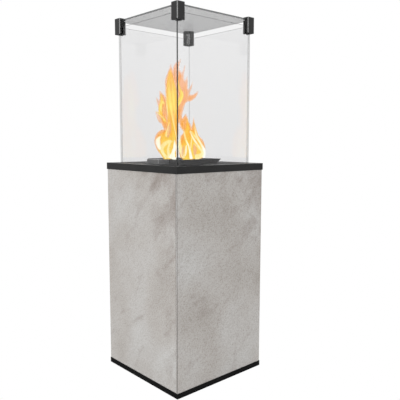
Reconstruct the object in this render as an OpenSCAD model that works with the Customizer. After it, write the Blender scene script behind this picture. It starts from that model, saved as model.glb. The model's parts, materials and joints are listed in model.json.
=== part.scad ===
// Gas patio heater: a square stone-clad cabinet that holds a gas cylinder, with a burner
// in a glass column on top. The front faces -Y, the service door is at the back, +Y.
// The origin is the centre of the base on the floor.

/* [Cabinet] */
// Gap between the floor and the plinth's lower edge
foot_gap = 2; // [1:0.5:8]
// Height of the plinth
plinth_h = 20; // [16:1:50]
// How far the plinth stands out past the cladding
plinth_lip = 1; // [0:0.5:2]
// Thickness of the plinth's steel
base_t = 3; // [2:0.5:5]
// Outer width of the stone cladding, square in plan
cabinet_w = 435; // [425:1:470]
// Height of the visible cladding
slab_h = 784; // [770:1:900]
// Thickness of a cladding slab
slab_t = 6; // [5:0.5:8]
// How far the slabs reach up behind the top plate's skirt
slab_tuck = 8; // [4:1:12]
// Width of the joint between two slabs
slab_joint = 1.2; // [0.5:0.1:2]
// Radius of the dowels under the slabs
dowel_r = 1.5; // [1:0.25:2]
// How far a dowel reaches into its slab
dowel_up = 12; // [8:1:20]
// Distance of the dowels from the slab's middle
dowel_x = 150; // [100:5:170]
// Width of a frame post's leg
post_w = 25; // [22:1:30]
// Wall of the frame posts and the upper frame
post_t = 2; // [1.5:0.5:3]
// Height of the upper frame
frame_h = 20; // [12:1:24]
// Width of the upper frame's top leg
frame_w = 20; // [15:1:21]
// Radius of a rubber foot
foot_r = 16; // [12:1:20]
// Distance from the plinth's side wall to a foot
foot_inset = 10; // [4:1:30]

/* [Top plate] */
// How far the top plate stands out past the cladding
plate_lip = 2.5; // [2.5:0.5:6]
// Height of the top plate with its skirt
plate_h = 26; // [22:1:32]
// Thickness of the top plate and burner deck
plate_t = 3; // [2:0.5:4]
// Wall of the skirt
skirt_t = 2; // [1.5:0.25:2]

/* [Glass column] */
// Distance from the cladding's outer face in to the side panes
glass_inset = 37.5; // [36.5:0.5:40]
// Thickness of the glass
glass_t = 6; // [5:0.5:8]
// Visible height of the side panes
glass_h = 523; // [400:1:600]
// Open gap between the side panes and the top pane
exhaust_gap = 20; // [12:1:30]
// Joint between two side panes
glass_joint = 0.5; // [0.3:0.1:1]
// Clearance between a pane and the groove's wall
groove_gap = 0.7; // [0.5:0.1:1]
// Wall of the groove under the plate
channel_t = 2; // [1.5:0.5:2.5]
// Depth of the groove under the plate
channel_h = 17; // [14:1:20]
// Thickness of the rubber in the groove
gasket_t = 3; // [2:0.5:5]

/* [Corner brackets] */
// Width of a corner bracket, square in plan
bracket_w = 35.5; // [30:0.5:40]
// Height of a corner bracket
bracket_h = 59; // [54:1:64]
// How far the bracket's outer face stands out past the glass
bracket_out = 11.5; // [9:0.5:14]
// Bracket material above the top pane
bracket_cap = 5; // [3:0.5:6]
// Chamfer of the bracket's inner corner
bracket_inner_cut = 10; // [6:0.5:12]
// Chamfer of the bracket's outer edges
bracket_edge_cut = 3; // [1:0.5:4]
// Thickness of the pads between pane and bracket
pad_t = 1.5; // [1:0.5:2]
// Clearance of the glass in the bracket's slots
slot_gap = 0.3; // [0.2:0.1:0.5]

/* [Burner] */
// Distance from the side panes in to the top of the flared rim
rim_inset = 70.3; // [70:0.1:76]
// How much the flared rim leans out on each side
rim_flare = 12; // [9:0.5:14]
// Width of the flange between the rim's foot and the burner pan
pan_inset = 6.7; // [5.7:0.1:12]
// Depth of the burner pan below the deck
pan_depth = 38; // [30:1:50]
// Steel of the burner pan and guard
pan_t = 1.5; // [1:0.25:2]
// Height of the flared rim
rim_h = 17; // [12:1:24]
// Radius of the burner head
head_r = 48; // [40:1:55]
// Radius of the mixer tube
mixer_r = 14; // [12:0.5:16]
// Wall of the mixer tube
mixer_t = 2; // [1.5:0.5:2.5]
// Length of the mixer tube below the pan
mixer_len = 100; // [80:1:110]
// Height of the air windows
air_h = 20; // [12:1:24]
// Width of the air windows
air_w = 10; // [6:1:12]
// Wall of the air shutter
shutter_t = 2; // [1:0.5:3]

/* [Pilot set] */
// Distance from the side panes in to the pilot guard
guard_inset = 17.6; // [14:0.1:20]
// Half length of the pilot guard
guard_half = 35; // [28:1:45]
// Gap between the pilot guard and the flared rim's top
guard_gap = 1.3; // [0.5:0.1:2]
// Half width of the notch in the rim for the pilot flame
notch_half = 20; // [12:1:24]
// Distance from the pilot guard's outer side in to the pilot hood
pilot_inset = 28.4; // [24.4:0.5:32.4]

/* [Controls] */
// Height of the control strip above the door
strip_h = 80; // [76:1:100]
// Half width of the control recess
recess_half = 75; // [70:1:100]
// Height of the control recess
recess_h = 60; // [54:1:70]
// Depth of the control recess
recess_depth = 28; // [28:1:34]
// Sheet of the control strip
panel_t = 1.5; // [1:0.25:2]
// Radius of the control knob
knob_r = 19; // [15:1:22]
// How far the knob can be pushed in
knob_push = 4; // [3:0.5:4]
// How far the igniter button can be pushed in
button_push = 5; // [3:0.5:5]
// Place of the igniter, to the side of the knob
igniter_x = 46; // [42:1:55]
// Running clearance of turning and sliding fits
fit = 0.05; // [0.02:0.01:0.1]

/* [Door] */
// Gap between the door and the side slabs
door_gap = 3; // [2.5:0.25:4]
// Gap above and below the door
door_gap_z = 2; // [1.5:0.5:4]
// Depth of the door pan's folded edge
door_fold = 4; // [3:0.5:5]
// Distance of the hinge pin from the door's edge
hinge_in = 3.5; // [3:0.25:4]
// Radius of a hinge knuckle
knuckle_r = 4; // [3.5:0.25:4]
// Radius of a hinge pin
pin_r = 2; // [1.5:0.25:2]
// Height of one hinge knuckle
knuckle_h = 25; // [18:1:35]
// Distance of a hinge from the door's end
hinge_end = 90; // [60:5:150]
// Width of the door pull
pull_w = 40; // [34:1:50]
// Height of the door pull
pull_h = 90; // [70:1:120]
// Depth of the door pull's cup
pull_depth = 18; // [14:1:20]

/* [Gas cylinder] */
// Radius of the gas cylinder
tank_r = 150; // [145:1:152]
// Length of the cylinder's straight shell
tank_len = 295; // [250:1:300]
// Wall of the cylinder
tank_t = 3; // [2:0.5:4]
// Radius of the cylinder's foot ring and collar
ring_r = 105; // [98:1:110]
// Sheet of the foot ring and the collar
ring_t = 3; // [2:0.5:4]
// Height of the collar's top above the plinth
collar_h = 590; // [570:1:600]
// Radius of the gas hose
hose_r = 6; // [5:0.25:6.5]
// Radius of the gas hose's bore
hose_bore = 3.5; // [2.5:0.25:4]
// Bend radius of the gas hose
hose_bend = 30; // [24:1:36]

/* [Hidden] */

$fn = 64;
// How far a cutting shape runs past the face it cuts
cut = 1;

// Heights
plinth_top = foot_gap + plinth_h;
slab_top = plinth_top + slab_h;
slab_end = slab_top + slab_tuck;
plate_top = slab_top + plate_h;
plate_under = plate_top - plate_t;
frame_low = plate_under - frame_h;
channel_low = plate_under - channel_h;
pane_low = channel_low + channel_t + gasket_t;
pane_top = plate_top + glass_h;
lid_low = pane_top + exhaust_gap;
lid_top = lid_low + glass_t;
bracket_top = lid_top + bracket_cap;
bracket_low = bracket_top - bracket_h;

// Half widths in plan
clad_half = cabinet_w / 2;
plinth_half = clad_half + plinth_lip;
plate_half = clad_half + plate_lip;
slab_in = clad_half - slab_t;
glass_half = clad_half - glass_inset;
pane_in = glass_half - glass_t;
groove_out = glass_half + groove_gap;
groove_in = pane_in - groove_gap;
bracket_half = glass_half + bracket_out;

// The rear posts stand back from the door, and this is their rear face
door_room = 8.5;
post_margin = 4;
rear_y = slab_in - door_room;

// Door
door_half = slab_in - door_gap;
strip_low = slab_top - strip_h;
door_low = plinth_top + door_gap_z;
door_top = strip_low - door_gap_z;
pan_back = slab_in - pan_t;
hinge_x = door_half - hinge_in;
hinge_y = clad_half - knuckle_r;
hinge_z = [door_low + hinge_end, door_top - hinge_end - 2 * knuckle_h];
knuckle_gap = 0.3;
leaf_t = 2;
leaf_w = 33;
leaf_lip = 1;
leaf_gap = 0.5;
window_gap = 0.3;
pull_in = 46.5;
pull_x = -(door_half - pull_in);
pull_z = (door_low + door_top) / 2;
pull_rim = 6;
pull_face = 1.5;
notch_side = 5;
notch_end = 4;
magnet_in = 8;
magnet_w = 14;
magnet_h = 40;
magnet_end = 120;
magnet_gap = 0.3;

// Controls: the recess's back wall and the axis of the knob
recess_y = clad_half - recess_depth;
recess_back = recess_y - panel_t;
knob_z = strip_low + strip_h / 2;
spindle_r = 4;
plug_r = 9;
valve_half = 20;
valve_gap = 8;
valve_len = 40;
inlet_in = 16;
inlet_up = 4;
outlet_in = 26;
valve_front = recess_back - valve_gap;
valve_back = valve_front - valve_len;
inlet_y = recess_back - inlet_in;
inlet_z = knob_z + inlet_up;
outlet_y = recess_back - outlet_in;
valve_low = knob_z - valve_half;
plug_end = 5;
plug_gap = 1;
plug_back = valve_back + plug_end + plug_gap;
spindle_proud = 15;
spindle_front = recess_y + spindle_proud;
pipe_r = 4;
pilot_pipe_r = 2;
lead_r = 1.5;
pilot_out_drop = 13;
pilot_out_z = knob_z - pilot_out_drop;
thermo_x = -8;
thermo_up = 12;
thermo_z = knob_z + thermo_up;
button_r = 6.5;
barrel_r = 9.7;
barrel_len = 60;
bore_len = 38;
flange_t = 3;
barrel_back = recess_back - barrel_len;
barrel_front = recess_y + flange_t;
bore_end = recess_back - bore_len;
lead_seat = 3;
thermo_seat = 2;
pipe_seat = 4;
neck_h = 8;
// Where the two leads turn across behind the valve and the igniter
thermo_turn = 22;
spark_turn = 28;
thermo_turn_y = valve_back - thermo_turn;
spark_turn_y = barrel_back - spark_turn;

// Burner, from the panes in to the pan
rim_high_half = pane_in - rim_inset;
rim_low_half = rim_high_half - rim_flare;
pan_half = rim_low_half - pan_inset;
guard_x = pane_in - guard_inset;
pilot_x = guard_x - pilot_inset;
pan_floor = plate_top - pan_depth;
cover_t = 2;
head_lift = 4.5;
head_proud = 4;
head_low = pan_floor + pan_t + head_lift;
head_top = plate_top + head_proud;
mixer_low = pan_floor - mixer_len;
air_lift = 12;
air_low = mixer_low + air_lift;
seat_h = 3;
jet_nut_h = 11;
injector_low = mixer_low - seat_h - jet_nut_h;
thermo_in = 8;
spark_in = 14;
probe_y = 12;
thermo_at = [-(pilot_x - thermo_in), -probe_y];
spark_at = [-(pilot_x - spark_in), probe_y];
thermo_r = 2.5;
ceramic_r = 3;
probe_h = 13;
probe_drop = 23;
pipe_drop = 28;
probe_top = plate_top + probe_h;
pilot_rod_low = plate_under - probe_drop;
pipe_low = injector_low - pipe_drop;

// Gas cylinder
tank_knuckle = 50;
tank_crown = 220;
tank_knuckle_x = tank_r - tank_knuckle;
crown_drop = sqrt(pow(tank_crown - tank_knuckle, 2) - pow(tank_knuckle_x, 2));
dome_h = tank_crown - crown_drop;
tank_lift = 15;
tank_low = plinth_top + tank_lift + dome_h;
tank_high = tank_low + tank_len;
tank_top = tank_high + dome_h;
boss_h = 10;
gas_out_up = 26;
gas_valve_h = 46;
boss_top = tank_top + boss_h;
gas_out_z = boss_top + gas_out_up;
gas_valve_top = boss_top + gas_valve_h;
wheel_neck = 4;
nut_x = -34;
regulator_x = -72;
outlet_len = 30;
hose_in = 10.5;
hose_x = -(slab_in - post_w - hose_in);

// A block between two opposite corners
module box(low, high) {
    translate(low) cube(high - low);
}

// A block centred on the vertical axis
module slab_block(half, z0, z1) {
    box([-half, -half, z0], [half, half, z1]);
}

// A square tube on the vertical axis
module square_tube(half_out, half_in, z0, z1) {
    difference() {
        slab_block(half_out, z0, z1);
        slab_block(half_in, z0 - cut, z1 + cut);
    }
}

// A round bar or hole on a vertical axis
module rod(x, y, z0, z1, r) {
    translate([x, y, z0]) cylinder(r = r, h = z1 - z0);
}

// A round bar or hole that runs front to back
module rod_y(x, y0, y1, z, r) {
    translate([x, y0, z]) rotate([-90, 0, 0]) cylinder(r = r, h = y1 - y0);
}

// A round bar or hole that runs side to side
module rod_x(x0, x1, y, z, r) {
    translate([x0, y, z]) rotate([0, 90, 0]) cylinder(r = r, h = x1 - x0);
}

// A square block whose four sides slope evenly
module square_cone(half_low, half_high, z0, z1) {
    side = [[-half_low, z0], [half_low, z0], [half_high, z1], [-half_high, z1]];
    reach = 2 * max(half_low, half_high) + 2 * cut;
    intersection() {
        rotate([90, 0, 0]) linear_extrude(reach, center = true) polygon(side);
        rotate([90, 0, 90]) linear_extrude(reach, center = true) polygon(side);
    }
}

// The section of a pipe, solid where it has no bore
module pipe_section(r, bore) {
    difference() {
        circle(r = r);
        if (bore > 0) circle(r = bore);
    }
}

// Places what is drawn on the axes u, v and w at a point
module place(u, v, w, at) {
    multmatrix([
        [u[0], v[0], w[0], at[0]],
        [u[1], v[1], w[1], at[1]],
        [u[2], v[2], w[2], at[2]],
        [0, 0, 0, 1]
    ])
    children();
}

// A pipe through points whose legs lie along the axes, with the same bend at each corner
module pipe(points, bend, r, bore = 0) {
    last = len(points) - 1;
    way = [for (i = [0 : last - 1]) (points[i + 1] - points[i]) / norm(points[i + 1] - points[i])];
    for (i = [0 : last - 1]) {
        from = points[i] + way[i] * (i > 0 ? bend : 0);
        to = points[i + 1] - way[i] * (i < last - 1 ? bend : 0);
        across = [way[i][1], way[i][2], way[i][0]];
        place(across, cross(way[i], across), way[i], from)
        linear_extrude(norm(to - from)) pipe_section(r, bore);
    }
    for (i = [1 : 1 : last - 1]) {
        middle = points[i] - bend * way[i - 1] + bend * way[i];
        place(-way[i], way[i - 1], cross(-way[i], way[i - 1]), middle)
        rotate_extrude(angle = 90) translate([bend, 0]) pipe_section(r, bore);
    }
}

// Folded plinth, open below, with vents in its floor and stops for the cylinder
module base_tray() {
    stop_w = 20;
    stop_h = 15;
    stop_gap = 1;
    stop_t = 3;
    vent_w = 8;
    vent_half = 60;
    vent_pitch = 30;
    side_vent_in = 38.5;
    side_vent_half = 20;
    side_vent_pitch = 60;
    side_vent_x = slab_in - side_vent_in;
    color("#202020") difference() {
        union() {
            difference() {
                slab_block(plinth_half, foot_gap, plinth_top);
                slab_block(plinth_half - base_t, foot_gap - cut, plinth_top - base_t);
            }
            for (turn = [0 : 3])
            rotate(45 + 90 * turn)
            box(
                [ring_r + stop_gap, -stop_w / 2, plinth_top - cut],
                [ring_r + stop_gap + stop_t, stop_w / 2, plinth_top + stop_h]
            );
        }
        for (i = [-2 : 2])
        box(
            [i * vent_pitch - vent_w / 2, -vent_half, plinth_top - base_t - cut],
            [i * vent_pitch + vent_w / 2, vent_half, plinth_top + cut]
        );
        for (turn = [0 : 3])
        rotate(90 * turn)
        for (i = [-1 : 1])
        box(
            [side_vent_x - vent_w, i * side_vent_pitch - side_vent_half, plinth_top - base_t - cut],
            [side_vent_x, i * side_vent_pitch + side_vent_half, plinth_top + cut]
        );
        dowels(dowel_r + fit, plinth_top - base_t - cut, plinth_top + cut);
    }
}

// Rubber feet that carry the plinth's floor
module feet() {
    at = plinth_half - base_t - foot_inset - foot_r;
    color("#1a1a1a") for (x = [-at, at], y = [-at, at]) rod(x, y, 0, plinth_top - base_t, foot_r);
}

// One angle post with its outer corner at a given place, its legs running towards the middle
module post(x, y) {
    in_x = -sign(x);
    in_y = -sign(y);
    translate([x, y, 0]) scale_sign(in_x, in_y) {
        box([0, 0, plinth_top], [post_w, post_t, frame_low]);
        box([0, 0, plinth_top], [post_t, post_w, frame_low]);
    }
}

// Mirrors what is drawn in the first quadrant into another
module scale_sign(sx, sy) {
    mirror([sx < 0 ? 1 : 0, 0, 0]) mirror([0, sy < 0 ? 1 : 0, 0]) children();
}

module post_front_left() { color("#7c8084") post(-slab_in, -slab_in); }
module post_front_right() { color("#7c8084") post(slab_in, -slab_in); }
module post_rear_left() { color("#7c8084") post(-slab_in, rear_y); }
module post_rear_right() { color("#7c8084") post(slab_in, rear_y); }

// Angle ring on the posts under the top plate
module upper_frame() {
    color("#7c8084") difference() {
        box([-slab_in, -slab_in, frame_low], [slab_in, rear_y, plate_under]);
        box(
            [-slab_in + post_t, -slab_in + post_t, frame_low - cut],
            [slab_in - post_t, rear_y - post_t, plate_under - post_t]
        );
        box(
            [-slab_in + frame_w, -slab_in + frame_w, frame_low],
            [slab_in - frame_w, rear_y - frame_w, plate_top]
        );
    }
}

// The dowels under the three fixed slabs, or the holes that they stand in
module dowels(r, z0, z1) {
    at = clad_half - slab_t / 2;
    for (s = [-1, 1]) {
        rod(s * dowel_x, -at, z0, z1, r);
        rod(-at, s * dowel_x, z0, z1, r);
        rod(at, s * dowel_x, z0, z1, r);
    }
}

module slab_pins() {
    color("#9a9da0") dowels(dowel_r, plinth_top - base_t, plinth_top + dowel_up);
}

// Front slab, which covers the edges of the side slabs
module front_slab() {
    color("#b5b1ae") difference() {
        box([-clad_half, -clad_half, plinth_top], [clad_half, -slab_in, slab_end]);
        dowels(dowel_r + fit, plinth_top - cut, plinth_top + dowel_up + cut);
    }
}

// A side slab, from the back of the front slab to the rear edge
module side_slab(side) {
    difference() {
        box(
            [side > 0 ? slab_in : -clad_half, -slab_in + slab_joint, plinth_top],
            [side > 0 ? clad_half : -slab_in, clad_half, slab_end]
        );
        dowels(dowel_r + fit, plinth_top - cut, plinth_top + dowel_up + cut);
    }
}

module left_slab() { color("#b8b4b1") side_slab(-1); }
module right_slab() { color("#b8b4b1") side_slab(1); }

// Folded top plate with a square opening for the groove and deck
module top_plate() {
    color("#383837") difference() {
        slab_block(plate_half, slab_top, plate_top);
        slab_block(plate_half - skirt_t, slab_top - cut, plate_under);
        slab_block(groove_out, slab_top, plate_top + cut);
    }
}

// Groove under the plate that the side panes stand in
module glass_channel() {
    color("#5c5f62") {
        square_tube(groove_out + channel_t, groove_out, channel_low, plate_under);
        square_tube(groove_in, groove_in - channel_t, channel_low, plate_under);
        square_tube(groove_out + channel_t, groove_in - channel_t, channel_low, channel_low + channel_t);
    }
}

module glass_gasket() {
    color("#151515") square_tube(groove_out, groove_in, channel_low + channel_t, pane_low);
}

// Inner plate that carries the burner and the pilot set
module burner_deck() {
    pan_room = 1;
    pipe_room = 0.5;
    probe_hole_r = 4;
    vent_in = 27.8;
    vent_w = 3.5;
    vent_half = 30;
    vent_pitch = 80;
    vent_x = groove_in - vent_in;
    low = plate_under - cut;
    high = plate_top + cut;
    color("#3a3a39") difference() {
        slab_block(groove_in, plate_under, plate_top);
        slab_block(pan_half + pan_room, low, high);
        rod(-pilot_x, 0, low, high, pilot_pipe_r + pipe_room);
        rod(thermo_at[0], thermo_at[1], low, high, probe_hole_r);
        rod(spark_at[0], spark_at[1], low, high, probe_hole_r);
        for (turn = [0 : 2])
        rotate(-90 + 90 * turn)
        for (i = [-1 : 1])
        box([vent_x - vent_w, i * vent_pitch - vent_half, low], [vent_x, i * vent_pitch + vent_half, high]);
    }
}

// One side pane. Each is the front pane turned by quarters, so it covers the next one's edge
module pane(quarter) {
    color("#cfe0dc", 0.35) rotate(-90 * quarter)
    box(
        [-glass_half, -glass_half, pane_low],
        [glass_half - glass_t - glass_joint, -glass_half + glass_t, pane_top]
    );
}

module glass_front() { pane(0); }
module glass_left() { pane(1); }
module glass_rear() { pane(2); }
module glass_right() { pane(3); }

module top_glass() {
    color("#cfe0dc", 0.35) slab_block(glass_half, lid_low, lid_top);
}

// The plan of the front left bracket, with its inner corner and outer edges cut off
module bracket_plan() {
    far = -bracket_half;
    near = far + bracket_w;
    polygon([
        [far + bracket_edge_cut, far],
        [near - bracket_edge_cut, far],
        [near, far + bracket_edge_cut],
        [near, near - bracket_inner_cut],
        [near - bracket_inner_cut, near],
        [far + bracket_edge_cut, near],
        [far, near - bracket_edge_cut],
        [far, far + bracket_edge_cut]
    ]);
}

// Screws through the brackets, or the holes for them
module corner_screws(high) {
    screw_r = 2.5;
    head_r = 4.5;
    head_h = 3;
    screw_end = 20;
    at = glass_half + bracket_out / 2;
    for (turn = [0 : 3])
    rotate(90 * turn) {
        rod(-at, -at, bracket_low + screw_end, high, screw_r);
        rod(-at, -at, bracket_top - head_h, high, head_r);
    }
}

// A corner bracket that holds two side panes and the top pane
module bracket(quarter) {
    outer = -(glass_half + pad_t);
    inner = -(glass_half - glass_t - slot_gap);
    past = -(bracket_half - bracket_w) + cut;
    color("#2e2e2d") rotate(-90 * quarter) difference() {
        translate([0, 0, bracket_low]) linear_extrude(bracket_h) bracket_plan();
        box([outer, outer, bracket_low - cut], [past, inner, pane_top + slot_gap]);
        box([outer, outer, bracket_low - cut], [inner, past, pane_top + slot_gap]);
        box(
            [-glass_half - slot_gap, -glass_half - slot_gap, lid_low],
            [past, past, lid_top]
        );
        corner_screws(bracket_top + cut);
    }
}

module bracket_front_left() { bracket(0); }
module bracket_rear_left() { bracket(1); }
module bracket_rear_right() { bracket(2); }
module bracket_front_right() { bracket(3); }

// Soft pads between the panes and the brackets
module bracket_pads() {
    edge = 2;
    low = bracket_low + edge;
    high = pane_top - edge;
    out = glass_half + pad_t;
    near = -glass_half + edge;
    far = near + bracket_w - bracket_out - 2 * edge;
    color("#111111") for (quarter = [0 : 3])
    rotate(90 * quarter) {
        box([near, -out, low], [far, -glass_half, high]);
        box([-out, near, low], [-glass_half, far, high]);
    }
}

module bracket_screws() {
    color("#8e9092") corner_screws(bracket_top);
}

// Burner pan with a flange on the deck and a flared rim
module burner_tray() {
    rim_top = plate_top + rim_h;
    wall = 1.8;
    bore_gap = 0.2;
    color("#4a4a49") difference() {
        union() {
            slab_block(pan_half, pan_floor, plate_top + pan_t);
            square_cone(rim_low_half, rim_high_half, plate_top, rim_top);
        }
        slab_block(pan_half - pan_t, pan_floor + pan_t, plate_top + pan_t);
        intersection() {
            square_cone(rim_low_half - wall, rim_high_half - wall, plate_top, rim_top);
            slab_block(rim_high_half, plate_top + pan_t, rim_top);
        }
        rod(0, 0, pan_floor - cut, pan_floor + pan_t + cut, mixer_r + bore_gap);
        box([-rim_high_half - cut, -notch_half, plate_top + pan_t], [-pan_half, notch_half, rim_top + cut]);
    }
}

// Slotted cover plate round the burner head
module burner_plate() {
    plate_gap = 2.7;
    head_gap = 2;
    slot_w = 3;
    slot_pitch = 8;
    slot_edge = 13;
    slot_end = 15;
    low = plate_top + pan_t;
    high = low + cover_t;
    half = rim_low_half - plate_gap;
    color("#55575a") difference() {
        slab_block(half, low, high);
        rod(0, 0, low - cut, high + cut, head_r + head_gap);
        for (turn = [0 : 3])
        rotate(90 * turn)
        for (x = [half - slot_edge : -slot_pitch : head_r + head_gap + slot_pitch])
        box([x, -(x - slot_end), low - cut], [x + slot_w, x - slot_end, high + cut]);
    }
}

// Hollow drum with rings of gas ports in its top
module burner_head() {
    skin = 1.5;
    collar_w = 3;
    port_r = 1.5;
    port_pitch = 12;
    color("#8b8d8f") difference() {
        union() {
            rod(0, 0, head_low, head_top, head_r);
            rod(0, 0, pan_floor + pan_t, head_low, mixer_r + collar_w);
        }
        rod(0, 0, head_low + skin, head_top - skin, head_r - skin);
        rod(0, 0, head_low - cut, head_low + skin + cut, mixer_r - mixer_t);
        rod(0, 0, pan_floor, head_low, mixer_r + fit);
        for (ring = [1 : 3])
        for (i = [0 : 8 * ring - 1])
        rotate(360 / (8 * ring) * i)
        rod(port_pitch * ring, 0, head_top - skin - cut, head_top + cut, port_r);
    }
}

// The four air windows through the mixer tube or the shutter
module air_windows(reach) {
    for (turn = [0, 90])
    rotate(turn)
    box([-reach, -air_w / 2, air_low], [reach, air_w / 2, air_low + air_h]);
}

// Mixer tube under the pan, with a nut under the pan's floor
module mixer_tube() {
    nut_h = 4;
    nut_w = 6;
    color("#8b8d8f") difference() {
        union() {
            rod(0, 0, mixer_low, head_low, mixer_r);
            rod(0, 0, pan_floor - nut_h, pan_floor, mixer_r + nut_w);
        }
        rod(0, 0, mixer_low - cut, head_low + cut, mixer_r - mixer_t);
        air_windows(mixer_r + cut);
    }
}

// Jet holder that closes the mixer tube's lower end
module injector() {
    flange_w = 3;
    spigot_h = 5;
    jet_h = 14;
    jet_r = 5;
    nut_r = 11;
    bore_h = 4;
    orifice_r = 1;
    color("#b5924c") difference() {
        union() {
            rod(0, 0, mixer_low - seat_h, mixer_low, mixer_r + flange_w);
            rod(0, 0, mixer_low, mixer_low + spigot_h, mixer_r - mixer_t - fit);
            rod(0, 0, mixer_low, mixer_low + jet_h, jet_r);
            translate([0, 0, injector_low]) cylinder(r = nut_r, h = jet_nut_h, $fn = 6);
        }
        rod(0, 0, injector_low - cut, mixer_low + bore_h, pipe_r + fit);
        rod(0, 0, mixer_low, mixer_low + jet_h + cut, orifice_r);
    }
}

// Slotted sleeve that turns on the mixer tube
module air_shutter() {
    seat_gap = 0.3;
    cover = 6;
    tab_half = 1.5;
    tab_len = 14;
    tab_low = 2;
    tab_high = 10;
    reach = mixer_r + shutter_t + cut;
    top = air_low + air_h + cover;
    color("#a9abad") difference() {
        union() {
            rod(0, 0, mixer_low + seat_gap, top, mixer_r + 2 * fit + shutter_t);
            box(
                [-tab_half, mixer_r + cut, mixer_low + tab_low],
                [tab_half, mixer_r + tab_len, mixer_low + tab_high]
            );
        }
        rod(0, 0, mixer_low, top + cut, mixer_r + fit);
        air_windows(reach);
    }
}

// Low box over the pilot set, open below and towards the burner
module pilot_guard() {
    flame_in = 3;
    flame_half = 12;
    top = plate_top + rim_h;
    inner_x = -(rim_high_half + guard_gap);
    color("#4a4a49") difference() {
        box([-guard_x, -guard_half, plate_top], [inner_x, guard_half, top]);
        box(
            [-guard_x + pan_t, -guard_half + pan_t, plate_top - cut],
            [inner_x + cut, guard_half - pan_t, top - pan_t]
        );
        box([-pilot_x + flame_in, -flame_half, top - pan_t - cut], [inner_x + cut, flame_half, top + cut]);
    }
}

// Pilot hood on a small base that also holds the electrode and the thermocouple
module pilot_burner() {
    foot_t = 1.5;
    foot_half = 19;
    foot_out = 10;
    foot_in = 20;
    hood_r = 5;
    hood_h = 11;
    hood_bore = 2.5;
    hood_cap = 2;
    mouth_half = 1.5;
    mouth_low = plate_top + 6;
    hood_top = plate_top + hood_h;
    color("#a98f57") difference() {
        union() {
            box(
                [-pilot_x - foot_out, -foot_half, plate_top],
                [-pilot_x + foot_in, foot_half, plate_top + foot_t]
            );
            rod(-pilot_x, 0, plate_top, hood_top, hood_r);
        }
        rod(-pilot_x, 0, plate_top - cut, mouth_low, pilot_pipe_r + fit);
        rod(-pilot_x, 0, mouth_low - cut, hood_top - hood_cap, hood_bore);
        box([-pilot_x, -mouth_half, mouth_low], [-pilot_x + hood_r + cut, mouth_half, hood_top - hood_cap]);
        rod(thermo_at[0], thermo_at[1], plate_top - cut, plate_top + foot_t + cut, thermo_r + fit);
        rod(spark_at[0], spark_at[1], plate_top - cut, plate_top + foot_t + cut, ceramic_r + fit);
    }
}

// Ceramic rod with a wire tip beside the pilot hood
module spark_electrode() {
    rod_top = plate_top + 9;
    tip_y = 3;
    wire_r = 0.9;
    wire_bend = 2;
    color("#e6e2d6") rod(spark_at[0], spark_at[1], pilot_rod_low, rod_top, ceramic_r);
    color("#9a9da0") pipe(
        [
            [spark_at[0], spark_at[1], rod_top], [spark_at[0], spark_at[1], probe_top],
            [spark_at[0], tip_y, probe_top]
        ],
        wire_bend, wire_r
    );
}

module thermocouple() {
    color("#b5924c") rod(thermo_at[0], thermo_at[1], pilot_rod_low, probe_top, thermo_r);
}

// Rear strip above the door, with a recess for the knob and the button
module control_panel() {
    spindle_room = 2;
    barrel_room = 0.2;
    lip = post_w - post_margin;
    low = knob_z - recess_h / 2;
    high = knob_z + recess_h / 2;
    color("#2b2b2a") difference() {
        union() {
            box([-door_half, clad_half - panel_t, strip_low], [door_half, clad_half, slab_end]);
            for (s = [-1, 1]) {
                x0 = s > 0 ? door_half - panel_t : -door_half;
                box([x0, rear_y, strip_low], [x0 + panel_t, clad_half, slab_end]);
                lip_x = s > 0 ? door_half - lip : -door_half;
                box([lip_x, rear_y, strip_low], [lip_x + lip, rear_y + panel_t, slab_end]);
            }
            box(
                [-recess_half - panel_t, recess_back, low - panel_t],
                [recess_half + panel_t, clad_half, high + panel_t]
            );
        }
        box([-recess_half, recess_y, low], [recess_half, clad_half + cut, high]);
        rod_y(0, recess_back - cut, recess_y + cut, knob_z, spindle_r + spindle_room);
        rod_y(igniter_x, recess_back - cut, recess_y + cut, knob_z, barrel_r + barrel_room);
    }
}

// Valve block behind the recess, with necks for the pipes
module gas_valve() {
    plug_wall = 4;
    outlet_r = 7;
    inlet_r = 8;
    pilot_out_r = 5;
    thermo_neck_r = 4;
    thermo_h = 6;
    tail_len = 16;
    neck_x = -valve_half - neck_h;
    color("#a8aaac") difference() {
        union() {
            box([-valve_half, valve_back, valve_low], [valve_half, valve_front, knob_z + valve_half]);
            rod_y(0, valve_front - cut, recess_back, knob_z, plug_r + plug_wall);
            rod(0, outlet_y, valve_low - neck_h, valve_low + cut, outlet_r);
            rod_x(neck_x, -valve_half + cut, inlet_y, inlet_z, inlet_r);
            rod_x(neck_x - tail_len, -valve_half, inlet_y, inlet_z, hose_bore - fit);
            rod_x(neck_x, -valve_half + cut, outlet_y, pilot_out_z, pilot_out_r);
            rod_y(thermo_x, valve_back - thermo_h, valve_back + cut, thermo_z, thermo_neck_r);
        }
        rod_y(0, valve_back + plug_end, recess_back + cut, knob_z, plug_r + fit);
        rod(0, outlet_y, valve_low - neck_h - cut, valve_low - pipe_seat, pipe_r + fit);
        rod_x(neck_x - cut, -valve_half - pipe_seat, outlet_y, pilot_out_z, pilot_pipe_r + fit);
        rod_y(thermo_x, valve_back - thermo_h - cut, valve_back - thermo_seat, thermo_z, lead_r + fit);
    }
}

// Sleeve that turns in the valve and opens its ports
module valve_plug() {
    port_r = 3;
    color("#c0a060") difference() {
        rod_y(0, plug_back, recess_back - plug_gap, knob_z, plug_r);
        rod_y(0, plug_back - cut, recess_back, knob_z, spindle_r + fit);
        rod(0, outlet_y, knob_z - plug_r - cut, knob_z, port_r);
    }
}

// Spindle that slides in the sleeve and carries the knob
module valve_spindle() {
    color("#b9bbbd") rod_y(0, plug_back + knob_push + plug_gap, spindle_front, knob_z, spindle_r);
}

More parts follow.
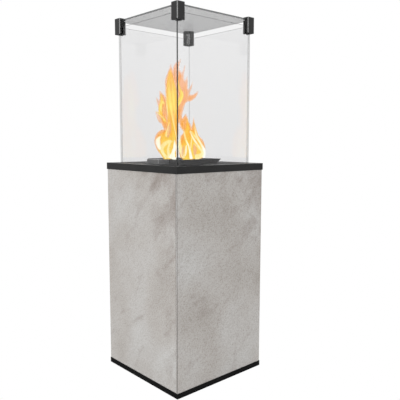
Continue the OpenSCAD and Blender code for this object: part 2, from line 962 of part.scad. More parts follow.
// Knob with a grip bar and a pointer groove
module control_knob() {
    push_room = 0.5;
    disc = 6;
    knob_h = 20;
    grip_half = 5;
    mark_half = 0.75;
    mark_deep = 1;
    mark_from = 4;
    back = recess_y + knob_push + push_room;
    front = back + knob_h;
    color("#1d1d1d") difference() {
        union() {
            rod_y(0, back, back + disc, knob_z, knob_r);
            intersection() {
                rod_y(0, back, front, knob_z, knob_r);
                box([-grip_half, back, knob_z - knob_r], [grip_half, front, knob_z + knob_r]);
            }
        }
        rod_y(0, back - cut, spindle_front + fit, knob_z, spindle_r + fit);
        box(
            [-mark_half, front - mark_deep, knob_z + mark_from],
            [mark_half, front + cut, knob_z + knob_r + cut]
        );
    }
}

// Piezo igniter barrel, clamped in the recess's back wall by a flange and a nut
module igniter_body() {
    nut_r = 14;
    nut_h = 5;
    flange_w = 3;
    color("#2a2a2a") difference() {
        union() {
            rod_y(igniter_x, barrel_back, barrel_front, knob_z, barrel_r);
            rod_y(igniter_x, recess_y, barrel_front, knob_z, barrel_r + flange_w);
            translate([igniter_x, recess_back - nut_h, knob_z])
            rotate([-90, 0, 0]) cylinder(r = nut_r, h = nut_h, $fn = 6);
        }
        rod_y(igniter_x, bore_end, barrel_front + cut, knob_z, button_r + fit);
        rod_y(igniter_x, barrel_back - cut, barrel_back + lead_seat, knob_z, lead_r + fit);
    }
}

module igniter_button() {
    button_stop = 1;
    button_proud = 1.5;
    low = bore_end + button_push + button_stop;
    high = barrel_front + button_push + button_proud;
    color("#8c1c1c") rod_y(igniter_x, low, high, knob_z, button_r);
}

// Pipe from the valve down and across to the jet
module main_gas_pipe() {
    jet_seat = 2;
    pipe_bend = 20;
    pipe_t = 1;
    color("#b87a4b") pipe(
        [
            [0, outlet_y, valve_low - pipe_seat], [0, outlet_y, pipe_low],
            [0, 0, pipe_low], [0, 0, mixer_low - seat_h - jet_seat]
        ],
        pipe_bend, pipe_r, pipe_r - pipe_t
    );
}

// Thin pipe from the valve to the pilot hood
module pilot_gas_pipe() {
    hood_seat = 5;
    pipe_bend = 10;
    pipe_t = 0.8;
    color("#b87a4b") pipe(
        [
            [-valve_half - pipe_seat, outlet_y, pilot_out_z], [-pilot_x, outlet_y, pilot_out_z],
            [-pilot_x, 0, pilot_out_z], [-pilot_x, 0, plate_top + hood_seat]
        ],
        pipe_bend, pilot_pipe_r, pilot_pipe_r - pipe_t
    );
}

// Insulated lead from the igniter to the electrode
module ignition_lead() {
    lead_bend = 10;
    color("#a03020") pipe(
        [
            [igniter_x, barrel_back + lead_seat, knob_z], [igniter_x, spark_turn_y, knob_z],
            [spark_at[0], spark_turn_y, knob_z], [spark_at[0], spark_at[1], knob_z],
            [spark_at[0], spark_at[1], pilot_rod_low]
        ],
        lead_bend, lead_r
    );
}

// Copper lead from the thermocouple to the valve
module thermocouple_lead() {
    lead_bend = 8;
    color("#b87a4b") pipe(
        [
            [thermo_x, valve_back - thermo_seat, thermo_z], [thermo_x, thermo_turn_y, thermo_z],
            [thermo_at[0], thermo_turn_y, thermo_z], [thermo_at[0], thermo_at[1], thermo_z],
            [thermo_at[0], thermo_at[1], pilot_rod_low]
        ],
        lead_bend, lead_r
    );
}

// Hose from the regulator, up beside the rear post, to the valve
module gas_hose() {
    color("#e07818") pipe(
        [
            [regulator_x - outlet_len, 0, gas_out_z], [hose_x, 0, gas_out_z], [hose_x, inlet_y, gas_out_z],
            [hose_x, inlet_y, inlet_z], [-valve_half - neck_h, inlet_y, inlet_z]
        ],
        hose_bend, hose_r, hose_bore
    );
}

// Two clips that hold the hose to the rear left post
module hose_clips() {
    clip_h = 12;
    clip_t = 1.5;
    tab_t = 2;
    first_clip = 60;
    clip_pitch = 100;
    tab = rear_y - post_t;
    color("#7c8084") for (i = [0 : 1]) {
        z = gas_out_z + first_clip + clip_pitch * i;
        difference() {
            union() {
                rod(hose_x, inlet_y, z, z + clip_h, hose_r + clip_t);
                box([hose_x - tab_t / 2, inlet_y + hose_r, z], [hose_x + tab_t / 2, tab, z + clip_h]);
                box([-slab_in + post_t + tab_t, tab - tab_t, z], [hose_x + tab_t / 2, tab, z + clip_h]);
            }
            rod(hose_x, inlet_y, z - cut, z + clip_h + cut, hose_r + fit);
        }
    }
}

// Half section of the cylinder's shell, drawn smaller by the inset
module tank_half(inset) {
    crown = tank_crown - inset;
    knuckle = tank_knuckle - inset;
    far = 1.6;
    for (end = [0, 1]) {
        z = end == 0 ? tank_low : tank_high;
        s = end == 0 ? -1 : 1;
        intersection() {
            translate([0, z - s * crown_drop]) circle(r = crown);
            polygon([
                [0, z - s * crown_drop],
                [tank_knuckle_x * far, z - s * crown_drop + s * crown_drop * far],
                [0, z - s * crown_drop + s * crown_drop * far * far]
            ]);
        }
        translate([tank_knuckle_x, z]) circle(r = knuckle);
    }
    translate([0, tank_low]) square([tank_r - inset, tank_len]);
}

// Steel cylinder with a foot ring and a collar that is open at the regulator
module gas_cylinder() {
    collar_in = 7;
    collar_mouth = 110;
    boss_r = 18;
    boss_sink = 4;
    collar_r = ring_r - collar_in;
    color("#7d8a8f") difference() {
        union() {
            rotate_extrude() intersection() {
                tank_half(0);
                square([tank_r + cut, tank_top + cut]);
            }
            rod(0, 0, tank_top - boss_sink, boss_top, boss_r);
            difference() {
                rod(0, 0, plinth_top, tank_low, ring_r);
                rod(0, 0, plinth_top - cut, tank_low + cut, ring_r - ring_t);
            }
            translate([0, 0, tank_high])
            rotate(180 + collar_mouth / 2)
            rotate_extrude(angle = 360 - collar_mouth)
            translate([collar_r - ring_t, 0]) square([ring_t, plinth_top + collar_h - tank_high]);
        }
        rotate_extrude() intersection() {
            tank_half(tank_t);
            square([tank_r, tank_top]);
        }
    }
}

// Brass cylinder valve with its outlet at the side
module cylinder_valve() {
    body_r = 13;
    outlet_r = 10;
    neck_r = 8;
    color("#b5924c") {
        rod(0, 0, boss_top, gas_valve_top, body_r);
        rod_x(nut_x, 0, 0, gas_out_z, outlet_r);
        rod(0, 0, gas_valve_top, gas_valve_top + wheel_neck, neck_r);
    }
}

// Hand wheel on the cylinder valve
module valve_handwheel() {
    wheel_gap = 0.3;
    wheel_h = 14;
    wheel_r = 22;
    lobe_r = 5;
    well_r = 12;
    well_floor = 8;
    low = gas_valve_top + wheel_neck + wheel_gap;
    color("#2c2c2c") difference() {
        union() {
            rod(0, 0, low, low + wheel_h, wheel_r);
            for (i = [0 : 5])
            rotate(60 * i)
            rod(wheel_r, 0, low, low + wheel_h, lobe_r);
        }
        rod(0, 0, low + well_floor, low + wheel_h + cut, well_r);
    }
}

// Pressure regulator with its nut and hose tail
module regulator() {
    nut_r = 15;
    nut_len = 14;
    body_r = 28;
    body_half = 13;
    cap_r = 16;
    cap_h = 5;
    outlet_r = 9;
    tail_len = 16;
    outlet_x = regulator_x - outlet_len;
    color("#9c9ea0") {
        translate([nut_x - nut_len, 0, gas_out_z])
        rotate([0, 90, 0]) cylinder(r = nut_r, h = nut_len, $fn = 6);
        rod(regulator_x, 0, gas_out_z - body_half, gas_out_z + body_half, body_r);
        rod(regulator_x, 0, gas_out_z + body_half, gas_out_z + body_half + cap_h, cap_r);
        rod_x(outlet_x, regulator_x, 0, gas_out_z, outlet_r);
        rod_x(outlet_x - tail_len, outlet_x + cut, 0, gas_out_z, hose_bore - fit);
    }
}

// Fixed hinge leaves with the lower knuckles
module hinge_bases() {
    side_x = slab_in - leaf_gap;
    color("#8e9092") for (z = hinge_z)
    difference() {
        union() {
            box([slab_in - post_w + post_margin, rear_y, z], [side_x, rear_y + leaf_t, z + knuckle_h]);
            box([side_x - leaf_t, rear_y, z], [side_x, hinge_y + leaf_lip, z + knuckle_h]);
            box([hinge_x, hinge_y - leaf_lip, z], [side_x, hinge_y + leaf_lip, z + knuckle_h]);
            rod(hinge_x, hinge_y, z, z + knuckle_h, knuckle_r);
        }
        rod(hinge_x, hinge_y, z - cut, z + knuckle_h + cut, pin_r + fit);
    }
}

// Hinge pins with a head below the lower knuckle
module hinge_pins() {
    head_h = 2;
    head_w = 1.2;
    pin_proud = 1;
    color("#c4c6c8") for (z = hinge_z) {
        rod(hinge_x, hinge_y, z - head_h, z, pin_r + head_w);
        rod(hinge_x, hinge_y, z - head_h, z + 2 * knuckle_h + pin_proud, pin_r);
    }
}

// Magnets on the rear left post that hold the door shut
module door_magnets() {
    near = -slab_in + magnet_in;
    color("#303030") for (z = [door_low + magnet_end, door_top - magnet_end])
    box([near, rear_y, z], [near + magnet_w, pan_back - magnet_gap, z + magnet_h]);
}

// Space that the hinges need at the door's edge
module hinge_notches() {
    for (z = hinge_z)
    box(
        [hinge_x - notch_side, rear_y, z - notch_end],
        [slab_in, clad_half + cut, z + 2 * knuckle_h + notch_end]
    );
}

// Space for the door pull's cup
module pull_window(clear) {
    box(
        [pull_x - pull_w / 2 - clear, rear_y - pull_depth, pull_z - pull_h / 2 - clear],
        [pull_x + pull_w / 2 + clear, clad_half + cut, pull_z + pull_h / 2 + clear]
    );
}

// Steel pan behind the door's slab, with folded edges
module door_pan() {
    color("#6a6d70") difference() {
        box([-door_half, pan_back - door_fold, door_low], [door_half, slab_in, door_top]);
        box(
            [-door_half + pan_t, pan_back - door_fold - cut, door_low + pan_t],
            [door_half - pan_t, pan_back, door_top - pan_t]
        );
        hinge_notches();
        pull_window(window_gap);
    }
}

module door_slab() {
    color("#b8b4b1") difference() {
        box([-door_half, slab_in, door_low], [door_half, clad_half, door_top]);
        hinge_notches();
        pull_window(window_gap);
    }
}

// Door leaves with the upper knuckles
module door_hinges() {
    color("#8e9092") for (z = hinge_z) {
        low = z + knuckle_h + knuckle_gap;
        high = low + knuckle_h - knuckle_gap;
        difference() {
            union() {
                box([hinge_x - leaf_w, pan_back - leaf_t, low], [hinge_x, pan_back, high]);
                box([hinge_x - knuckle_r, pan_back - leaf_t, low], [hinge_x, hinge_y, high]);
                rod(hinge_x, hinge_y, low, high, knuckle_r);
            }
            rod(hinge_x, hinge_y, low - cut, high + cut, pin_r + fit);
        }
    }
}

// Flush cup that fingers reach into, with a rim on the slab
module door_pull() {
    w = pull_w / 2;
    h = pull_h / 2;
    wall = 1.5;
    back = clad_half - pull_depth;
    color("#3a3a39") difference() {
        union() {
            box([pull_x - w, back, pull_z - h], [pull_x + w, clad_half + pull_face, pull_z + h]);
            box(
                [pull_x - w - pull_rim, clad_half, pull_z - h - pull_rim],
                [pull_x + w + pull_rim, clad_half + pull_face, pull_z + h + pull_rim]
            );
        }
        box(
            [pull_x - w + wall, back + wall, pull_z - h + wall],
            [pull_x + w - wall, clad_half + pull_face + cut, pull_z + h - wall]
        );
    }
}

base_tray();
feet();
post_front_left();
post_front_right();
post_rear_left();
post_rear_right();
upper_frame();
front_slab();
left_slab();
right_slab();
slab_pins();
top_plate();
burner_deck();
glass_channel();
glass_gasket();
glass_front();
glass_left();
glass_rear();
glass_right();
top_glass();
bracket_front_left();
bracket_front_right();
bracket_rear_left();
bracket_rear_right();
bracket_pads();
bracket_screws();
burner_tray();
burner_plate();
burner_head();
mixer_tube();
injector();
air_shutter();
pilot_guard();
pilot_burner();
spark_electrode();
thermocouple();
control_panel();
gas_valve();
valve_plug();
valve_spindle();
control_knob();
igniter_body();
igniter_button();
main_gas_pipe();
pilot_gas_pipe();
ignition_lead();
thermocouple_lead();
gas_hose();
hose_clips();
gas_cylinder();
cylinder_valve();
valve_handwheel();
regulator();
hinge_bases();
hinge_pins();
door_magnets();
door_pan();
door_slab();
door_hinges();
door_pull();
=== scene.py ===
import json
import math

import bmesh
import bpy
from mathutils import Matrix, Vector, noise

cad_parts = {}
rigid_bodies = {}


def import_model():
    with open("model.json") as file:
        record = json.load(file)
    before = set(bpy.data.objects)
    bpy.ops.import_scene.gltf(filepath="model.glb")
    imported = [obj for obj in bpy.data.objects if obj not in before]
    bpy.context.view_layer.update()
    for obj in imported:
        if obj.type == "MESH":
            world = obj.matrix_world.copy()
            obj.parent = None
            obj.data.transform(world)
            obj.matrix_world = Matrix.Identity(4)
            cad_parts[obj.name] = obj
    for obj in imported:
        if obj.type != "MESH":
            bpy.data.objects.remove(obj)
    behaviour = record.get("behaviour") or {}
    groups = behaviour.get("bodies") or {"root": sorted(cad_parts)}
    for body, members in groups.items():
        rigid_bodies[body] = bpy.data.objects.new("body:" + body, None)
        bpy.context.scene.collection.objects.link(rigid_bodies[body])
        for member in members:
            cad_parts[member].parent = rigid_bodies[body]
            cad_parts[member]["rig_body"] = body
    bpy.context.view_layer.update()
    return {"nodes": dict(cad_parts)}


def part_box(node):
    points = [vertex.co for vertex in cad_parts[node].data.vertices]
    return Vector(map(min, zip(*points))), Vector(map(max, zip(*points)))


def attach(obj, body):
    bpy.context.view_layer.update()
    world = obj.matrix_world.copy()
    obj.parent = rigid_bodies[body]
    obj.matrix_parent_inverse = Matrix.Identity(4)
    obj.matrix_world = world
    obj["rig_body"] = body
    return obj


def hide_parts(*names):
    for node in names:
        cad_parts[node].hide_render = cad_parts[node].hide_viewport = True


# Packed model. The heater stands with its front to -Y and its service door to +Y.
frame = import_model()
nodes = frame["nodes"]

# Camera. It stands about two metres off the heater's left front corner, a little above the top
# plate, and looks slightly down.
scene = bpy.context.scene
camera_place = (-1.3452, -1.5867, 0.9214)
camera_heading = -42.027
camera_dip = 6.533
camera_roll = 0.101
camera_data = bpy.data.cameras.new("camera")
camera_data.sensor_width = 36
camera_data.lens = 47.063
camera = bpy.data.objects.new("camera", camera_data)
scene.collection.objects.link(camera)
camera.matrix_world = (
    Matrix.Translation(camera_place)
    @ Matrix.Rotation(math.radians(camera_heading), 4, "Z")
    @ Matrix.Rotation(math.radians(90 - camera_dip), 4, "X")
    @ Matrix.Rotation(math.radians(camera_roll), 4, "Z")
)
scene.camera = camera

# Room. Plain white walls all round. Glossy surfaces mirror a room that darkens towards the floor,
# as between white walls. Light may pass through all the panes and all the flame's shells.
scene.view_settings.view_transform = "Standard"
scene.cycles.transparent_max_bounces = 64
scene.cycles.max_bounces = 12
scene.cycles.glossy_bounces = 6
world = bpy.data.worlds.new("white_room")
world.use_nodes = True
tree = world.node_tree
walls = tree.nodes["Background"]
walls.inputs["Color"].default_value = (1, 1, 1, 1)
mirrored = tree.nodes.new("ShaderNodeBackground")
mirrored_greys = [(0.10, 0.08), (0.48, 0.50), (0.80, 0.72), (1.0, 0.85)]
fade = 0.3
direction = tree.nodes.new("ShaderNodeTexCoord")
split = tree.nodes.new("ShaderNodeSeparateXYZ")
rising = tree.nodes.new("ShaderNodeMapRange")
rising.inputs["From Min"].default_value = -fade
rising.inputs["From Max"].default_value = fade
shade = tree.nodes.new("ShaderNodeValToRGB")
while len(shade.color_ramp.elements) < len(mirrored_greys):
    shade.color_ramp.elements.new(0.5)
for element, (position, grey) in zip(shade.color_ramp.elements, mirrored_greys):
    element.position = position
    element.color = (grey, grey, grey, 1)
ray = tree.nodes.new("ShaderNodeLightPath")
room = tree.nodes.new("ShaderNodeMixShader")
tree.links.new(direction.outputs["Generated"], split.inputs["Vector"])
tree.links.new(split.outputs["Z"], rising.inputs["Value"])
tree.links.new(rising.outputs["Result"], shade.inputs["Fac"])
tree.links.new(shade.outputs["Color"], mirrored.inputs["Color"])
tree.links.new(ray.outputs["Is Glossy Ray"], room.inputs[0])
tree.links.new(walls.outputs["Background"], room.inputs[1])
tree.links.new(mirrored.outputs["Background"], room.inputs[2])
tree.links.new(room.outputs["Shader"], tree.nodes["World Output"].inputs["Surface"])
scene.world = world

# Lights. A large soft light stands on the heater's left, and the panes don't mirror it. A wide one
# behind the camera shines only on the brackets and the pilot guard, and draws bright lines along
# their edges.


def soft_light(name, place, aim, width, height, power):
    """A rectangular studio light that faces the point it is aimed at."""
    data = bpy.data.lights.new(name, "AREA")
    data.shape = "RECTANGLE"
    data.size = width
    data.size_y = height
    data.energy = power
    lamp = bpy.data.objects.new(name, data)
    scene.collection.objects.link(lamp)
    lamp.location = place
    lamp.rotation_euler = (Vector(aim) - Vector(place)).to_track_quat("-Z", "Y").to_euler()
    lamp.visible_camera = False
    return lamp


left_light = soft_light(
    "left_light", place=(-3.0, 0.6, 1.9), aim=(0, 0, 0.7), width=1.6, height=2.0, power=21
)
edge_light = soft_light(
    "edge_light", place=(-2.75, -2.32, 2.02), aim=(-0.10, -0.10, 1.36), width=1.9, height=1.1, power=62
)

# Floor. Pale and softly lit. It lights the heater from below, is seen as white as the room, also
# through the glass, and isn't mirrored, because the mirrored room darkens towards it already.
floor_half = 4
floor_tone = 0.86
floor_glow = 0.5
floor_material = bpy.data.materials.new("white_floor")
floor_material.use_nodes = True
tree = floor_material.node_tree
floor_shader = tree.nodes["Principled BSDF"]
floor_shader.inputs["Base Color"].default_value = (floor_tone, floor_tone, floor_tone, 1)
floor_shader.inputs["Roughness"].default_value = 0.9
floor_shader.inputs["Emission Color"].default_value = (1, 1, 1, 1)
floor_shader.inputs["Emission Strength"].default_value = floor_glow
ray = tree.nodes.new("ShaderNodeLightPath")
seen_white = tree.nodes.new("ShaderNodeEmission")
seen = tree.nodes.new("ShaderNodeMixShader")
tree.links.new(ray.outputs["Is Camera Ray"], seen.inputs[0])
tree.links.new(floor_shader.outputs["BSDF"], seen.inputs[1])
tree.links.new(seen_white.outputs["Emission"], seen.inputs[2])
tree.links.new(seen.outputs["Shader"], tree.nodes["Material Output"].inputs["Surface"])
floor_form = bmesh.new()
bmesh.ops.create_grid(floor_form, x_segments=1, y_segments=1, size=floor_half)
floor_mesh = bpy.data.meshes.new("floor")
floor_form.to_mesh(floor_mesh)
floor_form.free()
floor_mesh.materials.append(floor_material)
floor = bpy.data.objects.new("floor", floor_mesh)
scene.collection.objects.link(floor)
floor.visible_glossy = False

# Plinth. A folded steel tray, powder coated black, that the cabinet stands in. It has slots in
# its floor for air, and four short stops that keep the cylinder in the middle.


def tone(red, green, blue):
    """A colour given as it is seen, from 0 to 255, in the linear numbers that shaders take."""
    parts = [c / 255 for c in (red, green, blue)]
    return [c / 12.92 if c < 0.04045 else ((c + 0.055) / 1.055) ** 2.4 for c in parts] + [1]


def noise_of(tree, size, detail=3.0, stretch=None, roughness=0.5):
    """The value of a noise that changes over about that many metres of the object."""
    coords = tree.nodes.new("ShaderNodeTexCoord")
    field = tree.nodes.new("ShaderNodeTexNoise")
    field.inputs["Scale"].default_value = 1 / size
    field.inputs["Detail"].default_value = detail
    field.inputs["Roughness"].default_value = roughness
    source = coords.outputs["Object"]
    if stretch:
        mapping = tree.nodes.new("ShaderNodeMapping")
        mapping.inputs["Scale"].default_value = stretch
        tree.links.new(source, mapping.inputs["Vector"])
        source = mapping.outputs["Vector"]
    tree.links.new(source, field.inputs["Vector"])
    return field.outputs["Fac"]


def ramp_of(tree, factor, stops):
    """The colour that a factor picks from stops of (position, colour)."""
    node = tree.nodes.new("ShaderNodeValToRGB")
    elements = node.color_ramp.elements
    while len(elements) < len(stops):
        elements.new(0.5)
    for element, (position, colour) in zip(elements, stops):
        element.position = position
        element.color = colour
    tree.links.new(factor, node.inputs["Fac"])
    return node.outputs["Color"]


def mix_of(tree, factor, first, second, way="MIX"):
    """Two colours mixed by a factor, which may be a number or a socket."""
    node = tree.nodes.new("ShaderNodeMix")
    node.data_type = "RGBA"
    node.blend_type = way
    inputs = ((factor, node.inputs[0]), (first, node.inputs[6]), (second, node.inputs[7]))
    for value, socket in inputs:
        if isinstance(value, bpy.types.NodeSocket):
            tree.links.new(value, socket)
        else:
            socket.default_value = value
    return node.outputs[2]


def range_of(tree, factor, low, high):
    """A noise's value, spread from its usual 0.3 to 0.7 over low to high."""
    node = tree.nodes.new("ShaderNodeMapRange")
    node.inputs["From Min"].default_value = 0.3
    node.inputs["From Max"].default_value = 0.7
    node.inputs["To Min"].default_value = low
    node.inputs["To Max"].default_value = high
    tree.links.new(factor, node.inputs["Value"])
    return node.outputs["Result"]


def relief_of(tree, shader, height, depth):
    """Raises the surface by up to a depth in metres."""
    node = tree.nodes.new("ShaderNodeBump")
    node.inputs["Strength"].default_value = 1.0
    node.inputs["Distance"].default_value = depth
    tree.links.new(height, node.inputs["Height"])
    tree.links.new(node.outputs["Normal"], shader.inputs["Normal"])


def edge_of(tree, size):
    """The rounded edges: the edge attribute, broken up by a noise. Finishes colour them with wear,
    painted highlights and darker arrises.
    """
    edge = tree.nodes.new("ShaderNodeAttribute")
    edge.attribute_name = "edge"
    product = tree.nodes.new("ShaderNodeMath")
    product.operation = "MULTIPLY"
    tree.links.new(edge.outputs["Fac"], product.inputs[0])
    tree.links.new(range_of(tree, noise_of(tree, size), 0.0, 1.0), product.inputs[1])
    return product.outputs["Value"]


def finish(
    name, dark, light, drift, grain, depth, gloss, metallic=0.0, level=0.5, edge_wear_and_highlight=None, stretch=None
):
    """A finish whose tone drifts from dark to light over drift metres.

    The grain, its size and depth in metres, roughens it over the range of gloss, and its edge
    tone, if given, colours its rounded edges: wear on most finishes, a painted highlight on the
    tray paint and the guard paint.
    """
    material = bpy.data.materials.new(name)
    material.use_nodes = True
    tree = material.node_tree
    shader = tree.nodes["Principled BSDF"]
    shader.inputs["Metallic"].default_value = metallic
    shader.inputs["Specular IOR Level"].default_value = level
    fine = noise_of(tree, grain, 2.0, stretch)
    colour = ramp_of(tree, noise_of(tree, drift, 3.0, stretch), [(0.3, dark), (0.7, light)])
    # The rounded edges take the edge tone: wear on most finishes, a painted highlight on some.
    if edge_wear_and_highlight:
        colour = mix_of(tree, edge_of(tree, drift / 3), colour, edge_wear_and_highlight)
    tree.links.new(colour, shader.inputs["Base Color"])
    tree.links.new(range_of(tree, fine, *gloss), shader.inputs["Roughness"])
    relief_of(tree, shader, fine, depth)
    return material


def finished(name, form, material, body="heater", sharp=30):
    """Turns a bmesh into a piece that rides on a body."""
    mesh = bpy.data.meshes.new(name)
    form.to_mesh(mesh)
    form.free()
    if "custom_normal" in mesh.attributes:
        mesh.attributes.remove(mesh.attributes["custom_normal"])
    for polygon in mesh.polygons:
        polygon.use_smooth = True
    mesh.set_sharp_from_angle(angle=math.radians(sharp))
    mesh.materials.clear()
    mesh.materials.append(material)
    obj = bpy.data.objects.new(name, mesh)
    scene.collection.objects.link(obj)
    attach(obj, body)
    return obj


def merged(node):
    """A copy of a CAD piece's mesh, merged into whole faces."""
    same_place = 1e-5
    same_plane = math.radians(0.5)
    form = bmesh.new()
    form.from_mesh(nodes[node].data)
    bmesh.ops.remove_doubles(form, verts=form.verts, dist=same_place)
    bmesh.ops.dissolve_limit(form, angle_limit=same_plane, verts=form.verts, edges=form.edges)
    return form


def rounded(node, width, material, shortest=0.006, segments=3):
    """A CAD piece with its sharp edges rounded, as folding, grinding or moulding leaves them."""
    sharp_angle = math.radians(30)
    cad = nodes[node]
    form = merged(node)
    sharp_edges = [
        e for e in form.edges
        if len(e.link_faces) == 2 and e.calc_length() > shortest
        and e.calc_face_angle() > sharp_angle
    ]
    edge = form.faces.layers.float.new("edge")
    made = bmesh.ops.bevel(
        form, geom=sharp_edges, offset=width, offset_type="OFFSET", segments=segments,
        profile=0.5, affect="EDGES", material=-1, clamp_overlap=True,
    )
    for face in made["faces"]:
        face[edge] = 1.0
    obj = finished(node + "_finish", form, material, cad["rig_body"])
    flat = obj.modifiers.new("flat_faces", "WEIGHTED_NORMAL")
    flat.mode = "FACE_AREA"
    flat.weight = 100
    flat.keep_sharp = True
    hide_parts(node)
    return obj


plinth_coat = finish(
    "plinth_coat", tone(16, 16, 16), tone(22, 22, 22),
    drift=0.06, grain=0.0011, depth=0.00003, gloss=(0.5, 0.62), level=0.12, edge_wear_and_highlight=tone(46, 46, 46),
)
rounded("base_tray", 0.0008, plinth_coat)

# Feet. Four round blocks of black rubber under the plinth's floor. They stand a little proud of
# its lower edge and carry the heater.


def dress(material, *names):
    """Gives CAD pieces whose shape is right their real finish."""
    for name in names:
        nodes[name].material_slots[0].material = material


foot_rubber = finish(
    "foot_rubber", tone(20, 20, 20), tone(34, 33, 32),
    drift=0.02, grain=0.0008, depth=0.00004, gloss=(0.75, 0.9), level=0.3,
)
dress(foot_rubber, "feet")

# Frame. Four angle posts and an angle ring at their top, of galvanised steel, which carry the
# slabs, the burner deck and the door.
corners = ("front_left", "front_right", "rear_left", "rear_right")
fold_radius = 0.0007


def galvanised(name, bright, dull):
    """Zinc-coated steel, with the flat crystals that the zinc sets in."""
    crystals_per_metre = 95
    material = finish(
        name, dull, bright,
        drift=0.05, grain=0.0016, depth=0.00001, gloss=(0.36, 0.52), metallic=0.85,
    )
    tree = material.node_tree
    shader = tree.nodes["Principled BSDF"]
    coords = tree.nodes.new("ShaderNodeTexCoord")
    crystals = tree.nodes.new("ShaderNodeTexVoronoi")
    crystals.inputs["Scale"].default_value = crystals_per_metre
    tree.links.new(coords.outputs["Object"], crystals.inputs["Vector"])
    shade = tree.nodes.new("ShaderNodeRGBToBW")
    tree.links.new(crystals.outputs["Color"], shade.inputs["Color"])
    drifting = shader.inputs["Base Color"].links[0].from_socket
    spangle = ramp_of(tree, shade.outputs["Val"], [
        (0.2, tone(215, 218, 220)), (0.8, tone(255, 255, 255)),
    ])
    tree.links.new(mix_of(tree, 0.6, drifting, spangle, "MULTIPLY"), shader.inputs["Base Color"])
    return material


zinc = galvanised("zinc_coat", tone(176, 180, 182), tone(150, 154, 157))
for corner in corners:
    rounded("post_" + corner, fold_radius, zinc)
rounded("upper_frame", fold_radius, zinc)

# Slabs. Three fixed slabs of sintered stone with the look of light concrete: soft grey clouds,
# faint brownish stains and a fine grit. Their edges are ground with a small arris, coloured darker.
slab_arris = 0.0004
cloud_size = 0.25
streak_size = 0.012
stain_size = 0.07
grit_size = 0.0046
arris_and_gloss_size = 0.02
skin_grain = 0.0016
skin_depth = 0.00008


def concrete(name, shift, right):
    """Light concrete whose clouds are moved by a shift, and stained towards one upper corner.

    right is the way to that corner in x and y, which is the slab's right side from outside.
    """
    material = bpy.data.materials.new(name)
    material.use_nodes = True
    tree = material.node_tree
    shader = tree.nodes["Principled BSDF"]
    shader.inputs["Specular IOR Level"].default_value = 0.25
    coords = tree.nodes.new("ShaderNodeTexCoord")

    def field(size, detail, roughness=0.55, distortion=0.0, stretch=(1, 1, 1), turn=0.0):
        """A noise of a size, moved by the shift, stretched, and turned in the slab's plane."""
        mapping = tree.nodes.new("ShaderNodeMapping")
        mapping.vector_type = "TEXTURE"
        mapping.inputs["Location"].default_value = shift
        mapping.inputs["Rotation"].default_value = (turn * -right[1], turn * right[0], 0)
        mapping.inputs["Scale"].default_value = stretch
        node = tree.nodes.new("ShaderNodeTexNoise")
        node.inputs["Scale"].default_value = 1 / size
        node.inputs["Detail"].default_value = detail
        node.inputs["Roughness"].default_value = roughness
        node.inputs["Distortion"].default_value = distortion
        tree.links.new(coords.outputs["Object"], mapping.inputs["Vector"])
        tree.links.new(mapping.outputs["Vector"], node.inputs["Vector"])
        return node.outputs["Fac"]

    clouds = ramp_of(tree, field(cloud_size, detail=2.0, roughness=0.35, distortion=0.3), [
        (0.30, tone(164, 160, 156)), (0.48, tone(174, 171, 168)),
        (0.56, tone(178, 176, 174)), (0.74, tone(185, 185, 184)),
    ])
    slanting = field(
        streak_size, detail=4.0, roughness=0.6, distortion=0.1, stretch=(1, 1, 3.5),
        turn=math.radians(48),
    )
    streaks = ramp_of(tree, slanting, [(0.36, tone(250, 249, 248)), (0.62, (1, 1, 1, 1))])
    clouded = mix_of(tree, 1.0, clouds, streaks, "MULTIPLY")
    lean = tree.nodes.new("ShaderNodeVectorMath")
    lean.operation = "DOT_PRODUCT"
    lean.inputs[1].default_value = (right[0] * 2.2, right[1] * 2.2, 1.5)
    tree.links.new(coords.outputs["Object"], lean.inputs[0])
    towards = tree.nodes.new("ShaderNodeMapRange")
    towards.inputs["From Min"].default_value = 0.95
    towards.inputs["From Max"].default_value = 1.62
    towards.inputs["To Max"].default_value = 0.24
    tree.links.new(lean.outputs["Value"], towards.inputs["Value"])
    patches = field(
        stain_size, detail=5.0, roughness=0.62, distortion=0.5, stretch=(1, 1, 1.8),
        turn=math.radians(40),
    )
    patch = tree.nodes.new("ShaderNodeMath")
    patch.operation = "ADD"
    tree.links.new(towards.outputs["Result"], patch.inputs[0])
    tree.links.new(patches, patch.inputs[1])
    stain = ramp_of(tree, patch.outputs["Value"], [(0.56, (0, 0, 0, 1)), (0.88, (1, 1, 1, 1))])
    stained = mix_of(tree, stain, clouded, tone(143, 135, 130))
    grit = ramp_of(tree, field(grit_size, detail=3.0, roughness=0.8), [
        (0.32, tone(208, 204, 198)), (0.50, tone(247, 246, 245)), (0.62, tone(255, 255, 255)),
    ])
    gritty = mix_of(tree, 1.0, stained, grit, "MULTIPLY")
    # The arrises are coloured darker, broken up by a noise.
    darker_arrises = mix_of(tree, edge_of(tree, arris_and_gloss_size), gritty, tone(150, 148, 145))
    tree.links.new(darker_arrises, shader.inputs["Base Color"])
    sheen = range_of(tree, field(arris_and_gloss_size, detail=3.0), 0.56, 0.7)
    tree.links.new(sheen, shader.inputs["Roughness"])
    relief_of(tree, shader, field(skin_grain, detail=3.0, roughness=0.7), skin_depth)
    return material


front_stone = concrete("front_stone", shift=(0.0, 0.0, 0.0), right=(1, 0))
left_stone = concrete("left_stone", shift=(1.20, 0.60, 1.0), right=(0, -1))
right_stone = concrete("right_stone", shift=(0.48, 0.26, 1.3), right=(0, 1))
front_cladding = rounded("front_slab", slab_arris, front_stone, shortest=0.05, segments=2)
rounded("left_slab", slab_arris, left_stone, shortest=0.05, segments=2)
rounded("right_slab", slab_arris, right_stone, shortest=0.05, segments=2)

